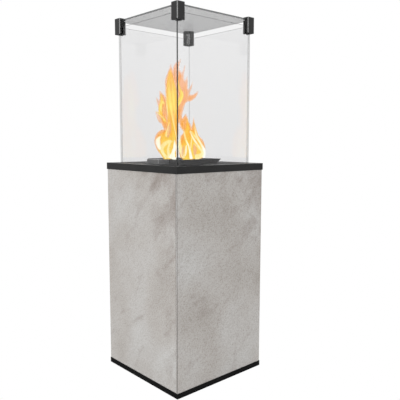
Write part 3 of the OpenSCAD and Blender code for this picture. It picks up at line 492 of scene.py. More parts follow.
# Corner arrises. The front slab's two outer corners are ground off at 45 degrees, and the cut
# shows the stone's dark core as a thin line down each corner.
dark_core = finish(
    "dark_stone_core", tone(76, 75, 73), tone(94, 92, 90),
    drift=0.03, grain=0.0012, depth=0.00004, gloss=(0.6, 0.72), level=0.3,
)
corner_cut = 0.0012
front_low, front_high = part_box("front_slab")
front_cladding.data.materials.append(dark_core)
ground = bmesh.new()
ground.from_mesh(front_cladding.data)
for side in (-1, 1):
    cut = bmesh.ops.bisect_plane(
        ground, geom=ground.verts[:] + ground.edges[:] + ground.faces[:],
        plane_co=(side * (front_high.x - corner_cut), front_low.y, 0), plane_no=(side, -1, 0),
        clear_outer=True,
    )
    rim = [e for e in cut["geom_cut"] if isinstance(e, bmesh.types.BMEdge)]
    for face in bmesh.ops.holes_fill(ground, edges=rim, sides=0)["faces"]:
        face.material_index = 1
    for e in rim:
        e.smooth = False
ground.to_mesh(front_cladding.data)
ground.free()

# Joint seals. A strip of black mastic in the slit between the front slab and each side slab, set
# back a little from the face.
mastic = finish(
    "mastic", tone(14, 14, 14), tone(22, 22, 22),
    drift=0.02, grain=0.0009, depth=0.00003, gloss=(0.6, 0.75), level=0.25,
)
seal_set_back = 0.0006
seal_edge = 0.0003
seal_front = front_high.y
for side in ("left", "right"):
    slab_low, slab_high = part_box(side + "_slab")
    middle = (slab_low + slab_high) / 2
    seal = bmesh.new()
    bmesh.ops.create_cube(
        seal, size=1,
        matrix=Matrix.Translation((middle.x, (seal_front + slab_low.y) / 2, middle.z))
        @ Matrix.Diagonal((
            slab_high.x - slab_low.x - seal_set_back, slab_low.y - seal_front,
            slab_high.z - slab_low.z, 1,
        )),
    )
    upright = [e for e in seal.edges if abs(e.verts[0].co.z - e.verts[1].co.z) > 0.1]
    bmesh.ops.bevel(
        seal, geom=upright, offset=seal_edge, segments=3, profile=0.5, affect="EDGES", material=-1
    )
    finished("joint_seal_" + side, seal, mastic)

# Dowels. Short bright steel pins that stand in the plinth's floor. Each slab is set down over
# its own pins, which keep its foot in place.
bright_steel = finish(
    "bright_steel", tone(188, 189, 190), tone(205, 206, 207),
    drift=0.02, grain=0.0007, depth=0.00001, gloss=(0.22, 0.36), metallic=1.0,
)
dress(bright_steel, "slab_pins")

# Top plate and deck. Folded steel sheet with a fine textured coat, almost black. The plate covers
# the slabs' upper edges, and the deck inside the glass carries the burner.
plate_coat = finish(
    "plate_coat", tone(32, 32, 32), tone(37, 37, 37),
    drift=0.05, grain=0.0009, depth=0.00003, gloss=(0.26, 0.34), level=0.28, edge_wear_and_highlight=tone(44, 44, 44),
)
rounded("top_plate", 0.0012, plate_coat)
deck_coat = finish(
    "deck_coat", tone(40, 40, 41), tone(46, 46, 47),
    drift=0.05, grain=0.0009, depth=0.00005, gloss=(0.5, 0.6), level=0.26, edge_wear_and_highlight=tone(60, 60, 60),
)
rounded("burner_deck", 0.0006, deck_coat)

# Groove. A galvanised channel under the plate, with a strip of black rubber in it that the side
# panes stand on.
rounded("glass_channel", 0.0005, zinc)
strip_rubber = finish(
    "strip_rubber", tone(18, 18, 18), tone(28, 28, 28),
    drift=0.03, grain=0.001, depth=0.00003, gloss=(0.7, 0.85), level=0.3,
)
dress(strip_rubber, "glass_gasket")

# Glass. Four side panes and a top pane of 6 mm tempered glass, slightly grey. It is seen
# through without bending, as thin panes are. Its cut edges are ground, and their shade is
# painted on as grey bands that hide part of the light: darker on the front and left panes than
# on the rear and right, and darkest on the side panes' upper edges.


def clear_glass(name, tint, index):
    """Thin glass: a tinted clear way through, mirrored over as its index of refraction gives."""
    material = bpy.data.materials.new(name)
    material.use_nodes = True
    tree = material.node_tree
    tree.nodes.remove(tree.nodes["Principled BSDF"])
    through = tree.nodes.new("ShaderNodeBsdfTransparent")
    through.inputs["Color"].default_value = tint
    gloss = tree.nodes.new("ShaderNodeBsdfGlossy")
    gloss.inputs["Roughness"].default_value = 0.0
    side = tree.nodes.new("ShaderNodeNewGeometry")
    in_or_out = tree.nodes.new("ShaderNodeMapRange")
    in_or_out.inputs["To Min"].default_value = index
    in_or_out.inputs["To Max"].default_value = 1 / index
    fresnel = tree.nodes.new("ShaderNodeFresnel")
    mixing = tree.nodes.new("ShaderNodeMixShader")
    tree.links.new(side.outputs["Backfacing"], in_or_out.inputs["Value"])
    tree.links.new(in_or_out.outputs["Result"], fresnel.inputs["IOR"])
    tree.links.new(fresnel.outputs["Fac"], mixing.inputs[0])
    tree.links.new(through.outputs["BSDF"], mixing.inputs[1])
    tree.links.new(gloss.outputs["BSDF"], mixing.inputs[2])
    tree.links.new(mixing.outputs["Shader"], tree.nodes["Material Output"].inputs["Surface"])
    return material


def shaded_pane_edge(name, cover, dark):
    """A pane's edge, painted as shade: it hides part of the light, and less of it from inside."""
    light = [c * 1.5 for c in dark[:3]] + [1]
    material = finish(
        name, dark, light, drift=0.03, grain=0.0009, depth=0.00001, gloss=(0.2, 0.3)
    )
    tree = material.node_tree
    side = tree.nodes.new("ShaderNodeNewGeometry")
    hiding = tree.nodes.new("ShaderNodeMapRange")
    hiding.inputs["To Min"].default_value = cover
    hiding.inputs["To Max"].default_value = cover * 0.4
    tree.links.new(side.outputs["Backfacing"], hiding.inputs["Value"])
    tree.links.new(hiding.outputs["Result"], tree.nodes["Principled BSDF"].inputs["Alpha"])
    return material


pane_glass = clear_glass("pane_glass", tint=(0.975, 0.975, 0.976, 1), index=1.58)
# The edges' shade is painted: dark on the front and left panes, paler on the rear and right.
near_edge_shade = shaded_pane_edge("near_pane_edge_shade", cover=0.85, dark=tone(44, 46, 46))
far_edge_shade = shaded_pane_edge("far_pane_edge_shade", cover=0.42, dark=tone(80, 84, 84))
lid_edge = shaded_pane_edge("top_pane_edge", cover=0.8, dark=tone(48, 50, 50))
top_edge = shaded_pane_edge("side_pane_top_edge", cover=0.95, dark=tone(34, 36, 36))
pane_arris = 0.0004


def pane(node, thin, edge_material):
    """A pane with its edges eased and painted with shade, the ones that face up darker.

    thin is the axis through its thickness: 0, 1 or 2.
    """
    form = merged(node)
    bmesh.ops.bevel(
        form, geom=list(form.edges), offset=pane_arris, offset_type="OFFSET", segments=1,
        profile=0.5, affect="EDGES", material=-1,
    )
    obj = finished(node + "_finish", form, pane_glass, "heater")
    obj.data.materials.append(edge_material)
    obj.data.materials.append(top_edge)
    for polygon in obj.data.polygons:
        if abs(polygon.normal[thin]) > 0.99:
            polygon.material_index = 0
        elif polygon.normal.z > 0.5:
            polygon.material_index = 2
        else:
            polygon.material_index = 1
    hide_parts(node)
    return obj


panes = [
    pane("glass_front", 1, near_edge_shade),
    pane("glass_left", 0, near_edge_shade),
    pane("glass_rear", 1, far_edge_shade),
    pane("glass_right", 0, far_edge_shade),
    pane("top_glass", 2, lid_edge),
]


def light_group(name, pieces):
    """A collection of pieces that a light is linked to."""
    group = bpy.data.collections.new(name)
    for piece in pieces:
        group.objects.link(piece)
    return group


unlit_panes = light_group("kept_from_left_light", panes)
for member in unlit_panes.collection_objects:
    member.light_linking.link_state = "EXCLUDE"
left_light.light_linking.receiver_collection = unlit_panes

# Brackets. Four machined aluminium corners, anodised black, that clamp the side panes and carry
# the top pane, each with soft black pads and a countersunk socket screw.
black_anodised = finish(
    "black_anodised", tone(21, 21, 21), tone(25, 25, 25),
    drift=0.02, grain=0.0012, depth=0.000005, gloss=(0.14, 0.19), level=0.4, edge_wear_and_highlight=tone(52, 52, 51),
)
brackets = [
    rounded("bracket_" + corner, 0.0007, black_anodised, shortest=0.003) for corner in corners
]
dress(strip_rubber, "bracket_pads")
lit_by_edge_light = light_group("lit_by_edge_light", brackets)
edge_light.light_linking.receiver_collection = lit_by_edge_light

screw_low, screw_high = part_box("bracket_screws")
screw_inset = 0.0045
head_radius = 0.0044
head_height = 0.003
head_edge = 0.0005
head_room = 0.006
socket_wall = 0.0018
socket_depth = 0.002
shank_radius = 0.0025
shank_length = 0.032
shank_middle = 0.019
screws = bmesh.new()
for x in (screw_low.x, screw_high.x):
    for y in (screw_low.y, screw_high.y):
        at_x = math.copysign(abs(x) - screw_inset, x)
        at_y = math.copysign(abs(y) - screw_inset, y)
        middle = Vector((at_x, at_y, 0))
        head = bmesh.ops.create_cone(
            screws, cap_ends=True, segments=36, radius1=head_radius, radius2=head_radius,
            depth=head_height, matrix=Matrix.Translation((at_x, at_y, screw_high.z - head_height / 2)),
        )
        top = max(
            {f for v in head["verts"] for f in v.link_faces}, key=lambda f: f.calc_center_median().z
        )
        bmesh.ops.bevel(
            screws, geom=list(top.edges), offset=head_edge, segments=2, profile=0.5,
            affect="EDGES", material=-1,
        )
        top = max(
            {f for v in screws.verts if (v.co.xy - middle.xy).length < head_room for f in v.link_faces},
            key=lambda f: (round(f.calc_center_median().z, 6), f.calc_area()),
        )
        bmesh.ops.inset_individual(screws, faces=[top], thickness=socket_wall)
        pushed = bmesh.ops.extrude_face_region(screws, geom=[top])
        sunk = [g for g in pushed["geom"] if isinstance(g, bmesh.types.BMVert)]
        bmesh.ops.translate(screws, verts=sunk, vec=(0, 0, -socket_depth))
        bmesh.ops.delete(screws, geom=[top], context="FACES_ONLY")
        bmesh.ops.create_cone(
            screws, cap_ends=True, segments=24, radius1=shank_radius, radius2=shank_radius,
            depth=shank_length, matrix=Matrix.Translation((at_x, at_y, screw_high.z - shank_middle)),
        )
screw_heads = finished("bracket_screws_finish", screws, bright_steel)
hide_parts("bracket_screws")

# Burner. A pressed steel tray with a flared rim stands in the deck's opening, painted with dark
# heat-proof paint. In it lie a slotted cover plate and a round burner head of stainless steel.
# Its rounded edges are painted a light grey highlight.
tray_paint = finish(
    "tray_paint", tone(83, 83, 84), tone(92, 92, 93),
    drift=0.03, grain=0.001, depth=0.00003, gloss=(0.42, 0.52), level=0.4, edge_wear_and_highlight=tone(132, 132, 131),
)
rounded("burner_tray", 0.0007, tray_paint)


def heated_steel(name):
    """Stainless steel that has been hot: straw and blue tints drift over a brushed grain."""
    tint_size = 0.06
    tinted = 0.55
    material = finish(
        name, tone(118, 112, 106), tone(164, 160, 156),
        drift=0.03, grain=0.0009, depth=0.00001, gloss=(0.28, 0.42), metallic=1.0,
        stretch=(1, 5, 1),
    )
    tree = material.node_tree
    shader = tree.nodes["Principled BSDF"]
    tint = ramp_of(tree, noise_of(tree, tint_size), [
        (0.35, tone(255, 255, 255)), (0.5, tone(232, 206, 160)), (0.62, tone(190, 150, 150)),
        (0.75, tone(150, 160, 196)),
    ])
    plain = shader.inputs["Base Color"].links[0].from_socket
    tree.links.new(mix_of(tree, tinted, plain, tint, "MULTIPLY"), shader.inputs["Base Color"])
    return material


burner_steel = heated_steel("burner_steel_heated")
dress(burner_steel, "burner_head")
rounded("burner_plate", 0.0003, burner_steel)

# Mixer. A steel tube under the burner head with four air windows, a turning shutter round them,
# and a brass jet holder at its lower end.
dress(burner_steel, "mixer_tube", "air_shutter")
brass = finish(
    "brass", tone(176, 142, 82), tone(206, 172, 108),
    drift=0.012, grain=0.0008, depth=0.00001, gloss=(0.26, 0.4), metallic=1.0,
)
dress(brass, "injector")

# Pilot set. A low folded guard stands beside the tray over the pilot hood, the ceramic spark
# electrode and the thermocouple.
# The guard's rounded edges are painted a near-white highlight.
guard_paint = finish(
    "guard_paint", tone(83, 83, 84), tone(92, 92, 93),
    drift=0.03, grain=0.001, depth=0.00002, gloss=(0.26, 0.34), level=0.5, edge_wear_and_highlight=tone(214, 214, 212),
)
guard = rounded("pilot_guard", 0.0022, guard_paint, segments=4)
lit_by_edge_light.objects.link(guard)
dress(brass, "pilot_burner", "thermocouple")
ceramic = finish(
    "white_ceramic", tone(222, 218, 206), tone(236, 233, 224),
    drift=0.006, grain=0.0006, depth=0.00001, gloss=(0.16, 0.28),
)
dress(ceramic, "spark_electrode")

# Control strip. A folded steel strip above the door, with a recess that holds the knob and the
# igniter, so that both stay behind the cladding's face.
rounded("control_panel", 0.0006, plate_coat)
strip_low, strip_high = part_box("control_panel")
strip_screw_x = 0.19
strip_screw_up = (0.016, 0.064)
strip_screw_radius = 0.0042
strip_screw_flatness = 0.42
strip_screws = bmesh.new()
for x in (-strip_screw_x, strip_screw_x):
    for up in strip_screw_up:
        bmesh.ops.create_uvsphere(
            strip_screws, u_segments=24, v_segments=12, radius=strip_screw_radius,
            matrix=Matrix.Translation((x, strip_high.y, strip_low.z + up))
            @ Matrix.Rotation(math.radians(-90), 4, "X")
            @ Matrix.Diagonal((1, 1, strip_screw_flatness, 1)),
        )
finished("strip_screws", strip_screws, bright_steel)

# Knob. Moulded black plastic with a grip bar and a white pointer, on a spindle that is pushed in
# and turned. Short marks are printed round it on the recess's back.
black_plastic = finish(
    "black_plastic", tone(24, 24, 24), tone(31, 31, 31),
    drift=0.015, grain=0.0006, depth=0.00002, gloss=(0.34, 0.46), level=0.5,
)
rounded("control_knob", 0.0009, black_plastic, shortest=0.003)
knob_low, knob_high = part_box("control_knob")
knob_axis = (knob_low + knob_high) / 2
dress(bright_steel, "valve_spindle")
white_print = finish(
    "white_print", tone(208, 208, 206), tone(224, 224, 222),
    drift=0.01, grain=0.0006, depth=0.00001, gloss=(0.5, 0.6), level=0.3,
)
pointer_size = (0.0012, 0.0006, 0.0125)
pointer_y = knob_high.y - 0.0009
pointer_up = 0.0105
pointer = bmesh.new()
bmesh.ops.create_cube(
    pointer, size=1,
    matrix=Matrix.Translation((0, pointer_y, knob_axis.z + pointer_up))
    @ Matrix.Diagonal((*pointer_size, 1)),
)
finished("knob_pointer", pointer, white_print, body="control_knob")
mark_count = 7
mark_pitch = 30
mark_ring = 0.0235
mark_width = 0.0009
mark_thickness = 0.0002
mark_proud = 0.00005
recess_back = knob_low.y - 0.0045
marks = bmesh.new()
for i in range(mark_count):
    angle = math.radians(mark_pitch * i)
    length = 0.004 if i % 3 == 0 else 0.0025
    spot = Vector((math.sin(angle) * mark_ring, 0, math.cos(angle) * mark_ring))
    bmesh.ops.create_cube(
        marks, size=1,
        matrix=Matrix.Translation((spot.x, recess_back + mark_proud, knob_axis.z + spot.z))
        @ Matrix.Rotation(angle, 4, "Y")
        @ Matrix.Diagonal((mark_width, mark_thickness, length, 1)),
    )
finished("knob_marks", marks, white_print)

# Gas valve. A cast alloy block with a tumbled, pebbled skin behind the recess. It has a brass
# plug inside, and necks for the hose, the two pipes and the thermocouple's lead.
cast_alloy = finish(
    "cast_alloy", tone(140, 142, 144), tone(172, 174, 175),
    drift=0.012, grain=0.0018, depth=0.00006, gloss=(0.42, 0.6), metallic=0.9,
)
rounded("gas_valve", 0.0006, cast_alloy)
dress(brass, "valve_plug")

# Igniter. A moulded barrel clamped in the recess by its flange and nut, with a red push button
# whose front is slightly domed.
dress(black_plastic, "igniter_body")
red_plastic = finish(
    "red_plastic", tone(150, 22, 20), tone(172, 30, 26),
    drift=0.01, grain=0.0006, depth=0.00001, gloss=(0.24, 0.34), level=0.5,
)
rounded("igniter_button", 0.0012, red_plastic, shortest=0.0001)

# Pipes and leads. Bare copper pipes to the jet and the pilot, a copper thermocouple lead, and a
# red silicone lead to the electrode.
copper = finish(
    "copper", tone(176, 104, 70), tone(206, 132, 94),
    drift=0.02, grain=0.001, depth=0.00001, gloss=(0.28, 0.44), metallic=1.0,
)
dress(copper, "main_gas_pipe", "pilot_gas_pipe", "thermocouple_lead")
red_silicone = finish(
    "red_silicone", tone(142, 40, 28), tone(160, 50, 36),
    drift=0.02, grain=0.0008, depth=0.00003, gloss=(0.5, 0.62), level=0.4,
)
dress(red_silicone, "ignition_lead")

# Hose. Orange rubber gas hose from the regulator to the valve, held by two steel clips on the
# rear left post.
hose_rubber = finish(
    "hose_rubber", tone(205, 98, 22), tone(222, 116, 36),
    drift=0.03, grain=0.0009, depth=0.00005, gloss=(0.5, 0.66), level=0.4,
)
dress(hose_rubber, "gas_hose")
dress(zinc, "hose_clips")

# Gas cylinder. A painted steel shell with a foot ring and a collar, and a weld bead round its
# middle. Its brass valve carries a black hand wheel and a cast regulator.
tank_paint = finish(
    "tank_paint", tone(112, 124, 130), tone(128, 140, 146),
    drift=0.09, grain=0.0014, depth=0.00005, gloss=(0.3, 0.42), level=0.5,
)
dress(tank_paint, "gas_cylinder")
tank_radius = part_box("gas_cylinder")[1].x
bead_z = 0.267
bead_radius = 0.0022
bead_sunk = 0.0006
bead_flatness = 0.5
bead = bmesh.new()
bmesh.ops.create_circle(
    bead, segments=10, radius=bead_radius,
    matrix=Matrix.Translation((tank_radius - bead_sunk, 0, bead_z))
    @ Matrix.Rotation(math.radians(90), 4, "X")
    @ Matrix.Diagonal((bead_flatness, 1.0, 1.0, 1)),
)
bmesh.ops.spin(
    bead, geom=list(bead.edges), cent=(0, 0, 0), axis=(0, 0, 1), angle=2 * math.pi, steps=160,
    use_merge=True,
)
bmesh.ops.remove_doubles(bead, verts=bead.verts, dist=1e-5)
bmesh.ops.recalc_face_normals(bead, faces=bead.faces)
finished("cylinder_weld", bead, tank_paint, sharp=60)
dress(brass, "cylinder_valve")
rounded("valve_handwheel", 0.0012, black_plastic, shortest=0.0002)
rounded("regulator", 0.0008, cast_alloy, shortest=0.0015)

# Door. A slab of the same stone on a folded steel pan, hung on two plain hinges at the right and
# held shut by two magnets. A flush cup in it is the pull.
rounded("door_pan", 0.0005, zinc)
rear_stone = concrete("rear_stone", shift=(0.62, 0.35, 0.9), right=(-1, 0))
rounded("door_slab", slab_arris, rear_stone, shortest=0.012, segments=2)
dress(zinc, "hinge_bases", "door_hinges")
dress(bright_steel, "hinge_pins")
magnet_coat = finish(
    "magnet_coat", tone(34, 34, 34), tone(44, 44, 44),
    drift=0.01, grain=0.0008, depth=0.00002, gloss=(0.5, 0.65), level=0.4,
)
dress(magnet_coat, "door_magnets")
rounded("door_pull", 0.0012, plate_coat)

# Flame. Burning gas over the burner head: an orange skin, a yellow body, pale streaks, orange
# pockets and white-hot places, each made as shells one inside the other. It is light only, so it
# has no solid in the CAD.
across = Vector((0.7428, -0.6695, 0))
away = Vector((0.6695, 0.7428, 0))
flatness = 0.7
flame_foot = 0.8385
flame_base = 0.84
flame_top = 1.24
flame_middle = -7

# A tongue is its depth behind the middle and its stations, in millimetres: across the view,
# height and half width. All but the skin's stand at the flame's front and again at its back.
skin_tongues = [
    (-8, [(-52, 848, 25), (-56, 860, 29), (-61, 874, 34), (-69, 897, 42), (-73, 915, 46),
         (-67, 929, 44), (-57, 941, 34), (-49, 953, 28), (-46, 964, 24), (-48, 978, 24),
         (-44, 1002, 24), (-44, 1044, 26), (-46, 1085, 25), (-50, 1126, 24), (-54, 1153, 23),
         (-52, 1172, 17), (-51, 1193, 8), (-51, 1213, 1.1)]),
    (6, [(-31, 1136, 8), (-31, 1160, 8), (-33, 1185, 12), (-31, 1204, 13), (-23, 1220, 9),
         (-11, 1237, 2.5)]),
    (12, [(-25, 986, 6), (-21, 1009, 9), (-17, 1031, 13), (-15, 1059, 14), (-8, 1081, 20),
         (-5, 1101, 22), (-9, 1128, 21), (-14, 1156, 16), (-18, 1181, 10), (-21, 1204, 2)]),
    (16, [(-14, 1130, 10), (-8, 1158, 8), (-3, 1184, 6), (2, 1204, 3), (6, 1222, 0.6)]),
    (18, [(-4, 1106, 12), (4, 1130, 10), (9, 1154, 6), (12, 1172, 2.4), (13, 1184, 0.6)]),
    (22, [(-8, 1080, 12), (8, 1098, 12), (21, 1117, 8), (28, 1134, 4), (34, 1151, 0.6)]),
    (20, [(-2, 1074, 10), (13, 1083, 12), (24, 1087, 15), (35, 1092, 12), (45, 1101, 7),
          (55, 1113, 1.5)]),
    (14, [(-24, 1062, 8), (-19, 1038, 9), (-15, 1012, 8), (-11, 990, 7), (-4, 970, 5),
          (2, 956, 2)]),
    (2, [(-62, 1100, 12), (-66, 1124, 9), (-66, 1146, 6), (-62, 1166, 0.8)]),
    (-16, [(-68, 966, 11), (-72, 979, 13), (-80, 997, 14), (-83, 1016, 21), (-81, 1035, 20),
         (-80, 1057, 20), (-82, 1079, 16), (-88, 1095, 9), (-96, 1113, 1.9)]),
    (-22, [(-92, 1049, 9), (-98, 1062, 7), (-104, 1079, 4), (-109, 1090, 0.6)]),
    (-24, [(-83, 1013, 10), (-95, 1022, 7), (-105, 1029, 3), (-114, 1036, 0.6)]),
    (-26, [(-112, 1033, 1.2), (-107, 1020, 3.4), (-101, 1006, 5), (-94, 994, 6), (-84, 988, 5),
          (-76, 992, 3)]),
    (-4, [(38, 847, 43), (37, 857, 47), (32, 874, 54), (31, 894, 54), (24, 918, 46), (20, 933, 38),
         (20, 947, 30), (14, 964, 20), (3, 980, 21), (2, 992, 18), (6, 1011, 9), (7, 1026, 1.7)]),
    (10, [(35, 944, 20), (37, 956, 15), (38, 975, 8), (37, 998, 5), (38, 1015, 1.1)]),
    (34, [(15, 850, 32), (15, 879, 37), (12, 913, 32), (9, 945, 17), (6, 970, 1.1)]),
    (36, [(-60, 850, 23), (-66, 882, 35), (-63, 913, 32), (-51, 947, 20), (-45, 976, 9),
         (-45, 993, 0.9)]),
]
body_tongues = [
    (-16, [(-52, 849, 23), (-59, 866, 29), (-65, 885, 35), (-70, 908, 40), (-64, 926, 37),
         (-54, 941, 27), (-46, 961, 20), (-46, 980, 20), (-44, 1002, 21), (-44, 1044, 21),
         (-46, 1085, 21), (-50, 1126, 19), (-53, 1159, 14), (-53, 1181, 7), (-52, 1197, 1.4)]),
    (-8, [(-34, 1039, 5), (-22, 1062, 7), (-11, 1087, 10), (-9, 1103, 8), (-18, 1122, 6),
         (-22, 1142, 2.8), (-23, 1161, 0.6)]),
    (-26, [(-70, 986, 4), (-77, 1002, 7), (-88, 1016, 8), (-92, 1032, 8), (-91, 1052, 8),
         (-85, 1071, 7), (-87, 1090, 3), (-90, 1104, 0.6)]),
    (-12, [(39, 849, 41), (36, 866, 46), (32, 883, 50), (30, 902, 45), (28, 920, 35), (27, 936, 28),
         (14, 955, 13), (14, 975, 8), (12, 994, 4), (12, 1008, 1.7)]),
    (-14, [(52, 925, 11), (44, 947, 8), (41, 972, 5), (39, 992, 0.8)]),
]
streak_tongues = [
    (-30, [(-27, 924, 2), (-33, 950, 3), (-38, 978, 4), (-44, 1010, 5), (-50, 1045, 6),
         (-55, 1085, 6), (-57, 1125, 5), (-58, 1160, 1)]),
    (-27, [(-36, 990, 1), (-36, 1020, 3), (-37, 1050, 5), (-40, 1085, 5), (-44, 1125, 4),
           (-47, 1165, 1)]),
    (-27, [(-60, 1000, 1), (-62, 1020, 3), (-65, 1045, 4), (-67, 1075, 3), (-68, 1100, 1)]),
    (-16, [(-36, 1036, 2.2), (-27, 1050, 4), (-18, 1064, 4), (-9, 1083, 4), (-4, 1097, 4),
         (-11, 1111, 3), (-18, 1119, 1.1)]),
    (-34, [(-70, 991, 1.7), (-79, 1007, 3), (-92, 1017, 3), (-103, 1028, 2.8), (-110, 1034, 0.8)]),
    (-34, [(-86, 1029, 1.7), (-89, 1043, 6), (-87, 1059, 4), (-80, 1073, 4), (-76, 1059, 2.2)]),
    (-40, [(-68, 852, 6), (-81, 869, 6), (-88, 891, 8), (-74, 908, 9), (-54, 919, 6),
         (-43, 916, 1.7)]),
    (-40, [(-57, 852, 7), (-60, 872, 6), (-63, 891, 5), (-48, 919, 4)]),
    (-40, [(-1, 852, 7), (-12, 877, 7), (-16, 899, 7), (-17, 919, 5), (-12, 936, 1.1)]),
    (-40, [(16, 899, 2.3), (6, 927, 5), (1, 950, 4), (-1, 966, 1.1)]),
    (-44, [(24, 874, 3), (27, 902, 5), (31, 925, 3), (32, 939, 0.8)]),
    (-40, [(65, 905, 2.3), (50, 927, 4), (37, 944, 4), (24, 958, 2.2)]),
    (-44, [(44, 855, 14), (66, 857, 11), (75, 877, 6), (55, 894, 4), (38, 908, 2.3)]),
    (-34, [(-70, 933, 6), (-63, 950, 7), (-57, 972, 6), (-57, 992, 2.3)]),
]
hot_tongues = [
    (-42, [(-93, 884, 4), (-99, 901, 9), (-101, 917, 10), (-97, 929, 7), (-90, 937, 2)]),
    (-38, [(-39, 872, 4), (-36, 890, 6), (-35, 906, 5), (-36, 920, 2)]),
    (-38, [(-48, 849, 15), (-43, 862, 11), (-42, 874, 6), (-44, 886, 2)]),
    (-26, [(77, 852, 5), (78, 869, 7), (77, 883, 8), (68, 902, 6), (55, 925, 4), (46, 947, 4),
         (42, 969, 2.5), (40, 986, 0.8)]),
    (-44, [(28, 849, 6.5), (25, 874, 5.5), (20, 897, 4), (13, 913, 3), (8, 925, 0.8)]),
    (-46, [(5, 860, 2), (7, 872, 4), (9, 888, 4.5), (10, 902, 2)]),
    (-46, [(22, 958, 1.5), (30, 940, 3.5), (40, 922, 4), (52, 906, 4), (62, 892, 2)]),
]
pocket_tongues = [
    (-44, [(-6, 858, 3), (-5, 872, 5), (-3, 888, 5), (0, 902, 2)]),
    (-46, [(42, 862, 4), (44, 876, 8), (42, 892, 8), (38, 906, 3)]),
    (-40, [(-62, 930, 3), (-60, 946, 7), (-56, 962, 8), (-52, 980, 5), (-50, 996, 1)]),
    (-26, [(-36, 1150, 2), (-37, 1170, 4), (-38, 1190, 2)]),
    (-30, [(-76, 1000, 2), (-79, 1012, 5), (-78, 1026, 3)]),
]
mirroring_panes = light_group("panes_that_mirror_the_flame", panes)


def both_sides(tongues):
    """The tongues at the flame's front, and the same again at its back."""
    return tongues + [(2 * flame_middle - depth, stations) for depth, stations in tongues]


def evaluated(obj):
    """The mesh that an object's curve or modifiers give."""
    graph = bpy.context.evaluated_depsgraph_get()
    return bpy.data.meshes.new_from_object(obj.evaluated_get(graph))


def flame_shell(name, tongues, drawn_in, voxel, ripple, material):
    """One shell of the flame: its tongues, drawn in by some millimetres, joined and rippled."""
    thinnest = 0.5
    fold_across, fold_up = 60, 15
    wisp_across, wisp_up, wisp_shift = 150, 40, 7
    curve = bpy.data.curves.new(name + "_line", "CURVE")
    curve.dimensions = "3D"
    curve.bevel_depth = 0.001
    curve.bevel_resolution = 4
    curve.use_fill_caps = True
    for depth, stations in tongues:
        inner = [(a, z, r - drawn_in) for a, z, r in stations if r - drawn_in > thinnest]
        if len(inner) < 2:
            continue
        if drawn_in:
            end = stations[min(len(inner), len(stations) - 1)]
            inner.append((end[0], (end[1] + inner[-1][1]) / 2, thinnest))
        spline = curve.splines.new("NURBS")
        spline.points.add(len(inner) - 1)
        spline.order_u = 3
        spline.use_endpoint_u = True
        spline.resolution_u = 6
        for point, (a, z, r) in zip(spline.points, inner):
            point.co = (a / 1000, depth / 1000 / flatness, z / 1000, 1)
            point.radius = r
    line = bpy.data.objects.new(name + "_line", curve)
    scene.collection.objects.link(line)
    mesh = evaluated(line)
    bpy.data.objects.remove(line)
    mesh.transform(Matrix.Diagonal((1, flatness, 1, 1)))
    shell = bpy.data.objects.new(name, mesh)
    scene.collection.objects.link(shell)
    joined = shell.modifiers.new("joined", "REMESH")
    joined.mode = "VOXEL"
    joined.voxel_size = voxel
    eased = shell.modifiers.new("eased", "SMOOTH")
    eased.iterations = 2
    mesh = evaluated(shell)
    shell.modifiers.clear()
    shell.data = mesh
    mesh.name = name
    normals = [Vector(v.normal) for v in mesh.vertices]
    for vertex, normal in zip(mesh.vertices, normals):
        at = vertex.co
        fold = noise.noise(Vector((at.x * fold_across, at.y * fold_across, at.z * fold_up)))
        wisp = noise.noise(
            Vector((at.x * wisp_across + wisp_shift, at.y * wisp_across, at.z * wisp_up))
        )
        vertex.co = at + normal * ripple * (0.75 * fold + 0.25 * wisp)
        vertex.co.z = max(vertex.co.z, flame_foot)
    mesh.transform(Matrix((
        (across.x, away.x, 0, 0), (across.y, away.y, 0, 0), (0, 0, 1, 0), (0, 0, 0, 1),
    )))
    for polygon in mesh.polygons:
        polygon.use_smooth = True
    mesh.materials.clear()
    mesh.materials.append(material)
    shell.visible_diffuse = False
    shell.light_linking.receiver_collection = mirroring_panes
    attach(shell, "heater")


def flame_light(name, colours, covers, strength, drift=0.3):
    """Glowing gas. Colours and covers are its stops of (height, colour) and (height, cover).

    Its colours drift up and down by drift of the flame's height, and its cover is torn by wisps.
    """
    material = bpy.data.materials.new(name)
    material.use_nodes = True
    tree = material.node_tree
    tree.nodes.remove(tree.nodes["Principled BSDF"])
    glow = tree.nodes.new("ShaderNodeEmission")
    glow.inputs["Strength"].default_value = strength
    clear = tree.nodes.new("ShaderNodeBsdfTransparent")
    coords = tree.nodes.new("ShaderNodeTexCoord")
    parts = tree.nodes.new("ShaderNodeSeparateXYZ")
    tree.links.new(coords.outputs["Object"], parts.inputs["Vector"])
    height = tree.nodes.new("ShaderNodeMapRange")
    height.inputs["From Min"].default_value = flame_base
    height.inputs["From Max"].default_value = flame_top
    tree.links.new(parts.outputs["Z"], height.inputs["Value"])
    shift = tree.nodes.new("ShaderNodeMath")
    shift.operation = "ADD"
    tree.links.new(height.outputs["Result"], shift.inputs[0])
    wisps = noise_of(tree, 0.016, 3.0, (1, 1, 0.2), 0.6)
    tree.links.new(range_of(tree, wisps, -drift, drift), shift.inputs[1])

    def stops(values):
        return [((z - flame_base) / (flame_top - flame_base), value) for z, value in values]

    tree.links.new(ramp_of(tree, shift.outputs["Value"], stops(colours)), glow.inputs["Color"])
    veil = ramp_of(tree, height.outputs["Result"], stops([(z, (c, c, c, 1)) for z, c in covers]))
    tears = noise_of(tree, 0.014, 3.0, (1, 1, 0.22), 0.6)
    torn = tree.nodes.new("ShaderNodeMath")
    torn.operation = "MULTIPLY"
    tree.links.new(veil, torn.inputs[0])
    tree.links.new(range_of(tree, tears, 0.45, 1.45), torn.inputs[1])
    mixing = tree.nodes.new("ShaderNodeMixShader")
    tree.links.new(torn.outputs["Value"], mixing.inputs[0])
    tree.links.new(clear.outputs["BSDF"], mixing.inputs[1])
    tree.links.new(glow.outputs["Emission"], mixing.inputs[2])
    tree.links.new(mixing.outputs["Shader"], tree.nodes["Material Output"].inputs["Surface"])
    return material


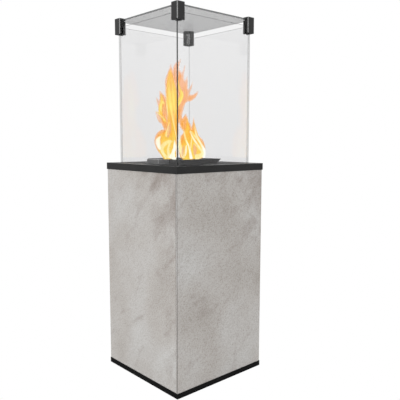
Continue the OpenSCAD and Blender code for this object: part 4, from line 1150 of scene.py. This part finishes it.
skin_light = flame_light(
    "flame_skin_light",
    [(0.86, (1.0, 0.42, 0.02, 1)), (0.98, (1.0, 0.38, 0.02, 1)), (1.20, (1.0, 0.34, 0.06, 1))],
    [(0.84, 0.24), (0.95, 0.23), (1.08, 0.21), (1.22, 0.17)], strength=1.1,
)
body_light = flame_light(
    "flame_body_light",
    [(0.86, (1.0, 0.76, 0.12, 1)), (0.92, (1.0, 0.66, 0.05, 1)), (0.975, (1.0, 0.44, 0.015, 1)),
     (1.05, (1.0, 0.80, 0.11, 1)), (1.18, (1.0, 0.58, 0.08, 1))],
    [(0.84, 0.31), (1.0, 0.34), (1.20, 0.22)], strength=1.12, drift=0.16,
)
streak_light = flame_light(
    "flame_streak_light",
    [(0.86, (1.0, 0.93, 0.52, 1)), (0.96, (1.0, 0.92, 0.42, 1)), (1.02, (1.0, 0.88, 0.22, 1)),
     (1.15, (1.0, 0.85, 0.20, 1))],
    [(0.84, 0.20), (1.0, 0.20), (1.18, 0.15)], strength=1.2,
)
hot_light = flame_light(
    "flame_hot_light",
    [(0.86, (1.0, 0.98, 0.88, 1)), (0.98, (1.0, 0.94, 0.60, 1))],
    [(0.84, 0.46), (1.0, 0.30)], strength=1.25,
)
pocket_light = flame_light(
    "flame_pocket_light",
    [(0.86, (1.0, 0.54, 0.28, 1)), (1.10, (1.0, 0.42, 0.10, 1))],
    [(0.84, 0.34), (1.2, 0.24)], strength=1.0,
)


def nested(name, tongues, steps, voxel, ripple, material):
    """The shells of one layer of the flame, each drawn in by a step in millimetres."""
    for drawn_in in steps:
        flame_shell("%s_%d" % (name, 10 * drawn_in), tongues, drawn_in, voxel, ripple, material)


broad = {"voxel": 0.0024, "ripple": 0.004}
fine = {"voxel": 0.0018, "ripple": 0.002}
nested("flame_skin", skin_tongues, (0, 2.0, 4.5, 7.5), material=skin_light, **broad)
nested("flame_body", both_sides(body_tongues), (0, 1.6, 3.4), material=body_light, **broad)
nested("flame_streaks", both_sides(streak_tongues), (0, 1.0, 2.2), material=streak_light, **fine)
nested("flame_pockets", both_sides(pocket_tongues), (0, 1.0, 2.2), material=pocket_light, **fine)
nested("flame_hot", both_sides(hot_tongues), (0, 1.5, 3.0), material=hot_light, **fine)
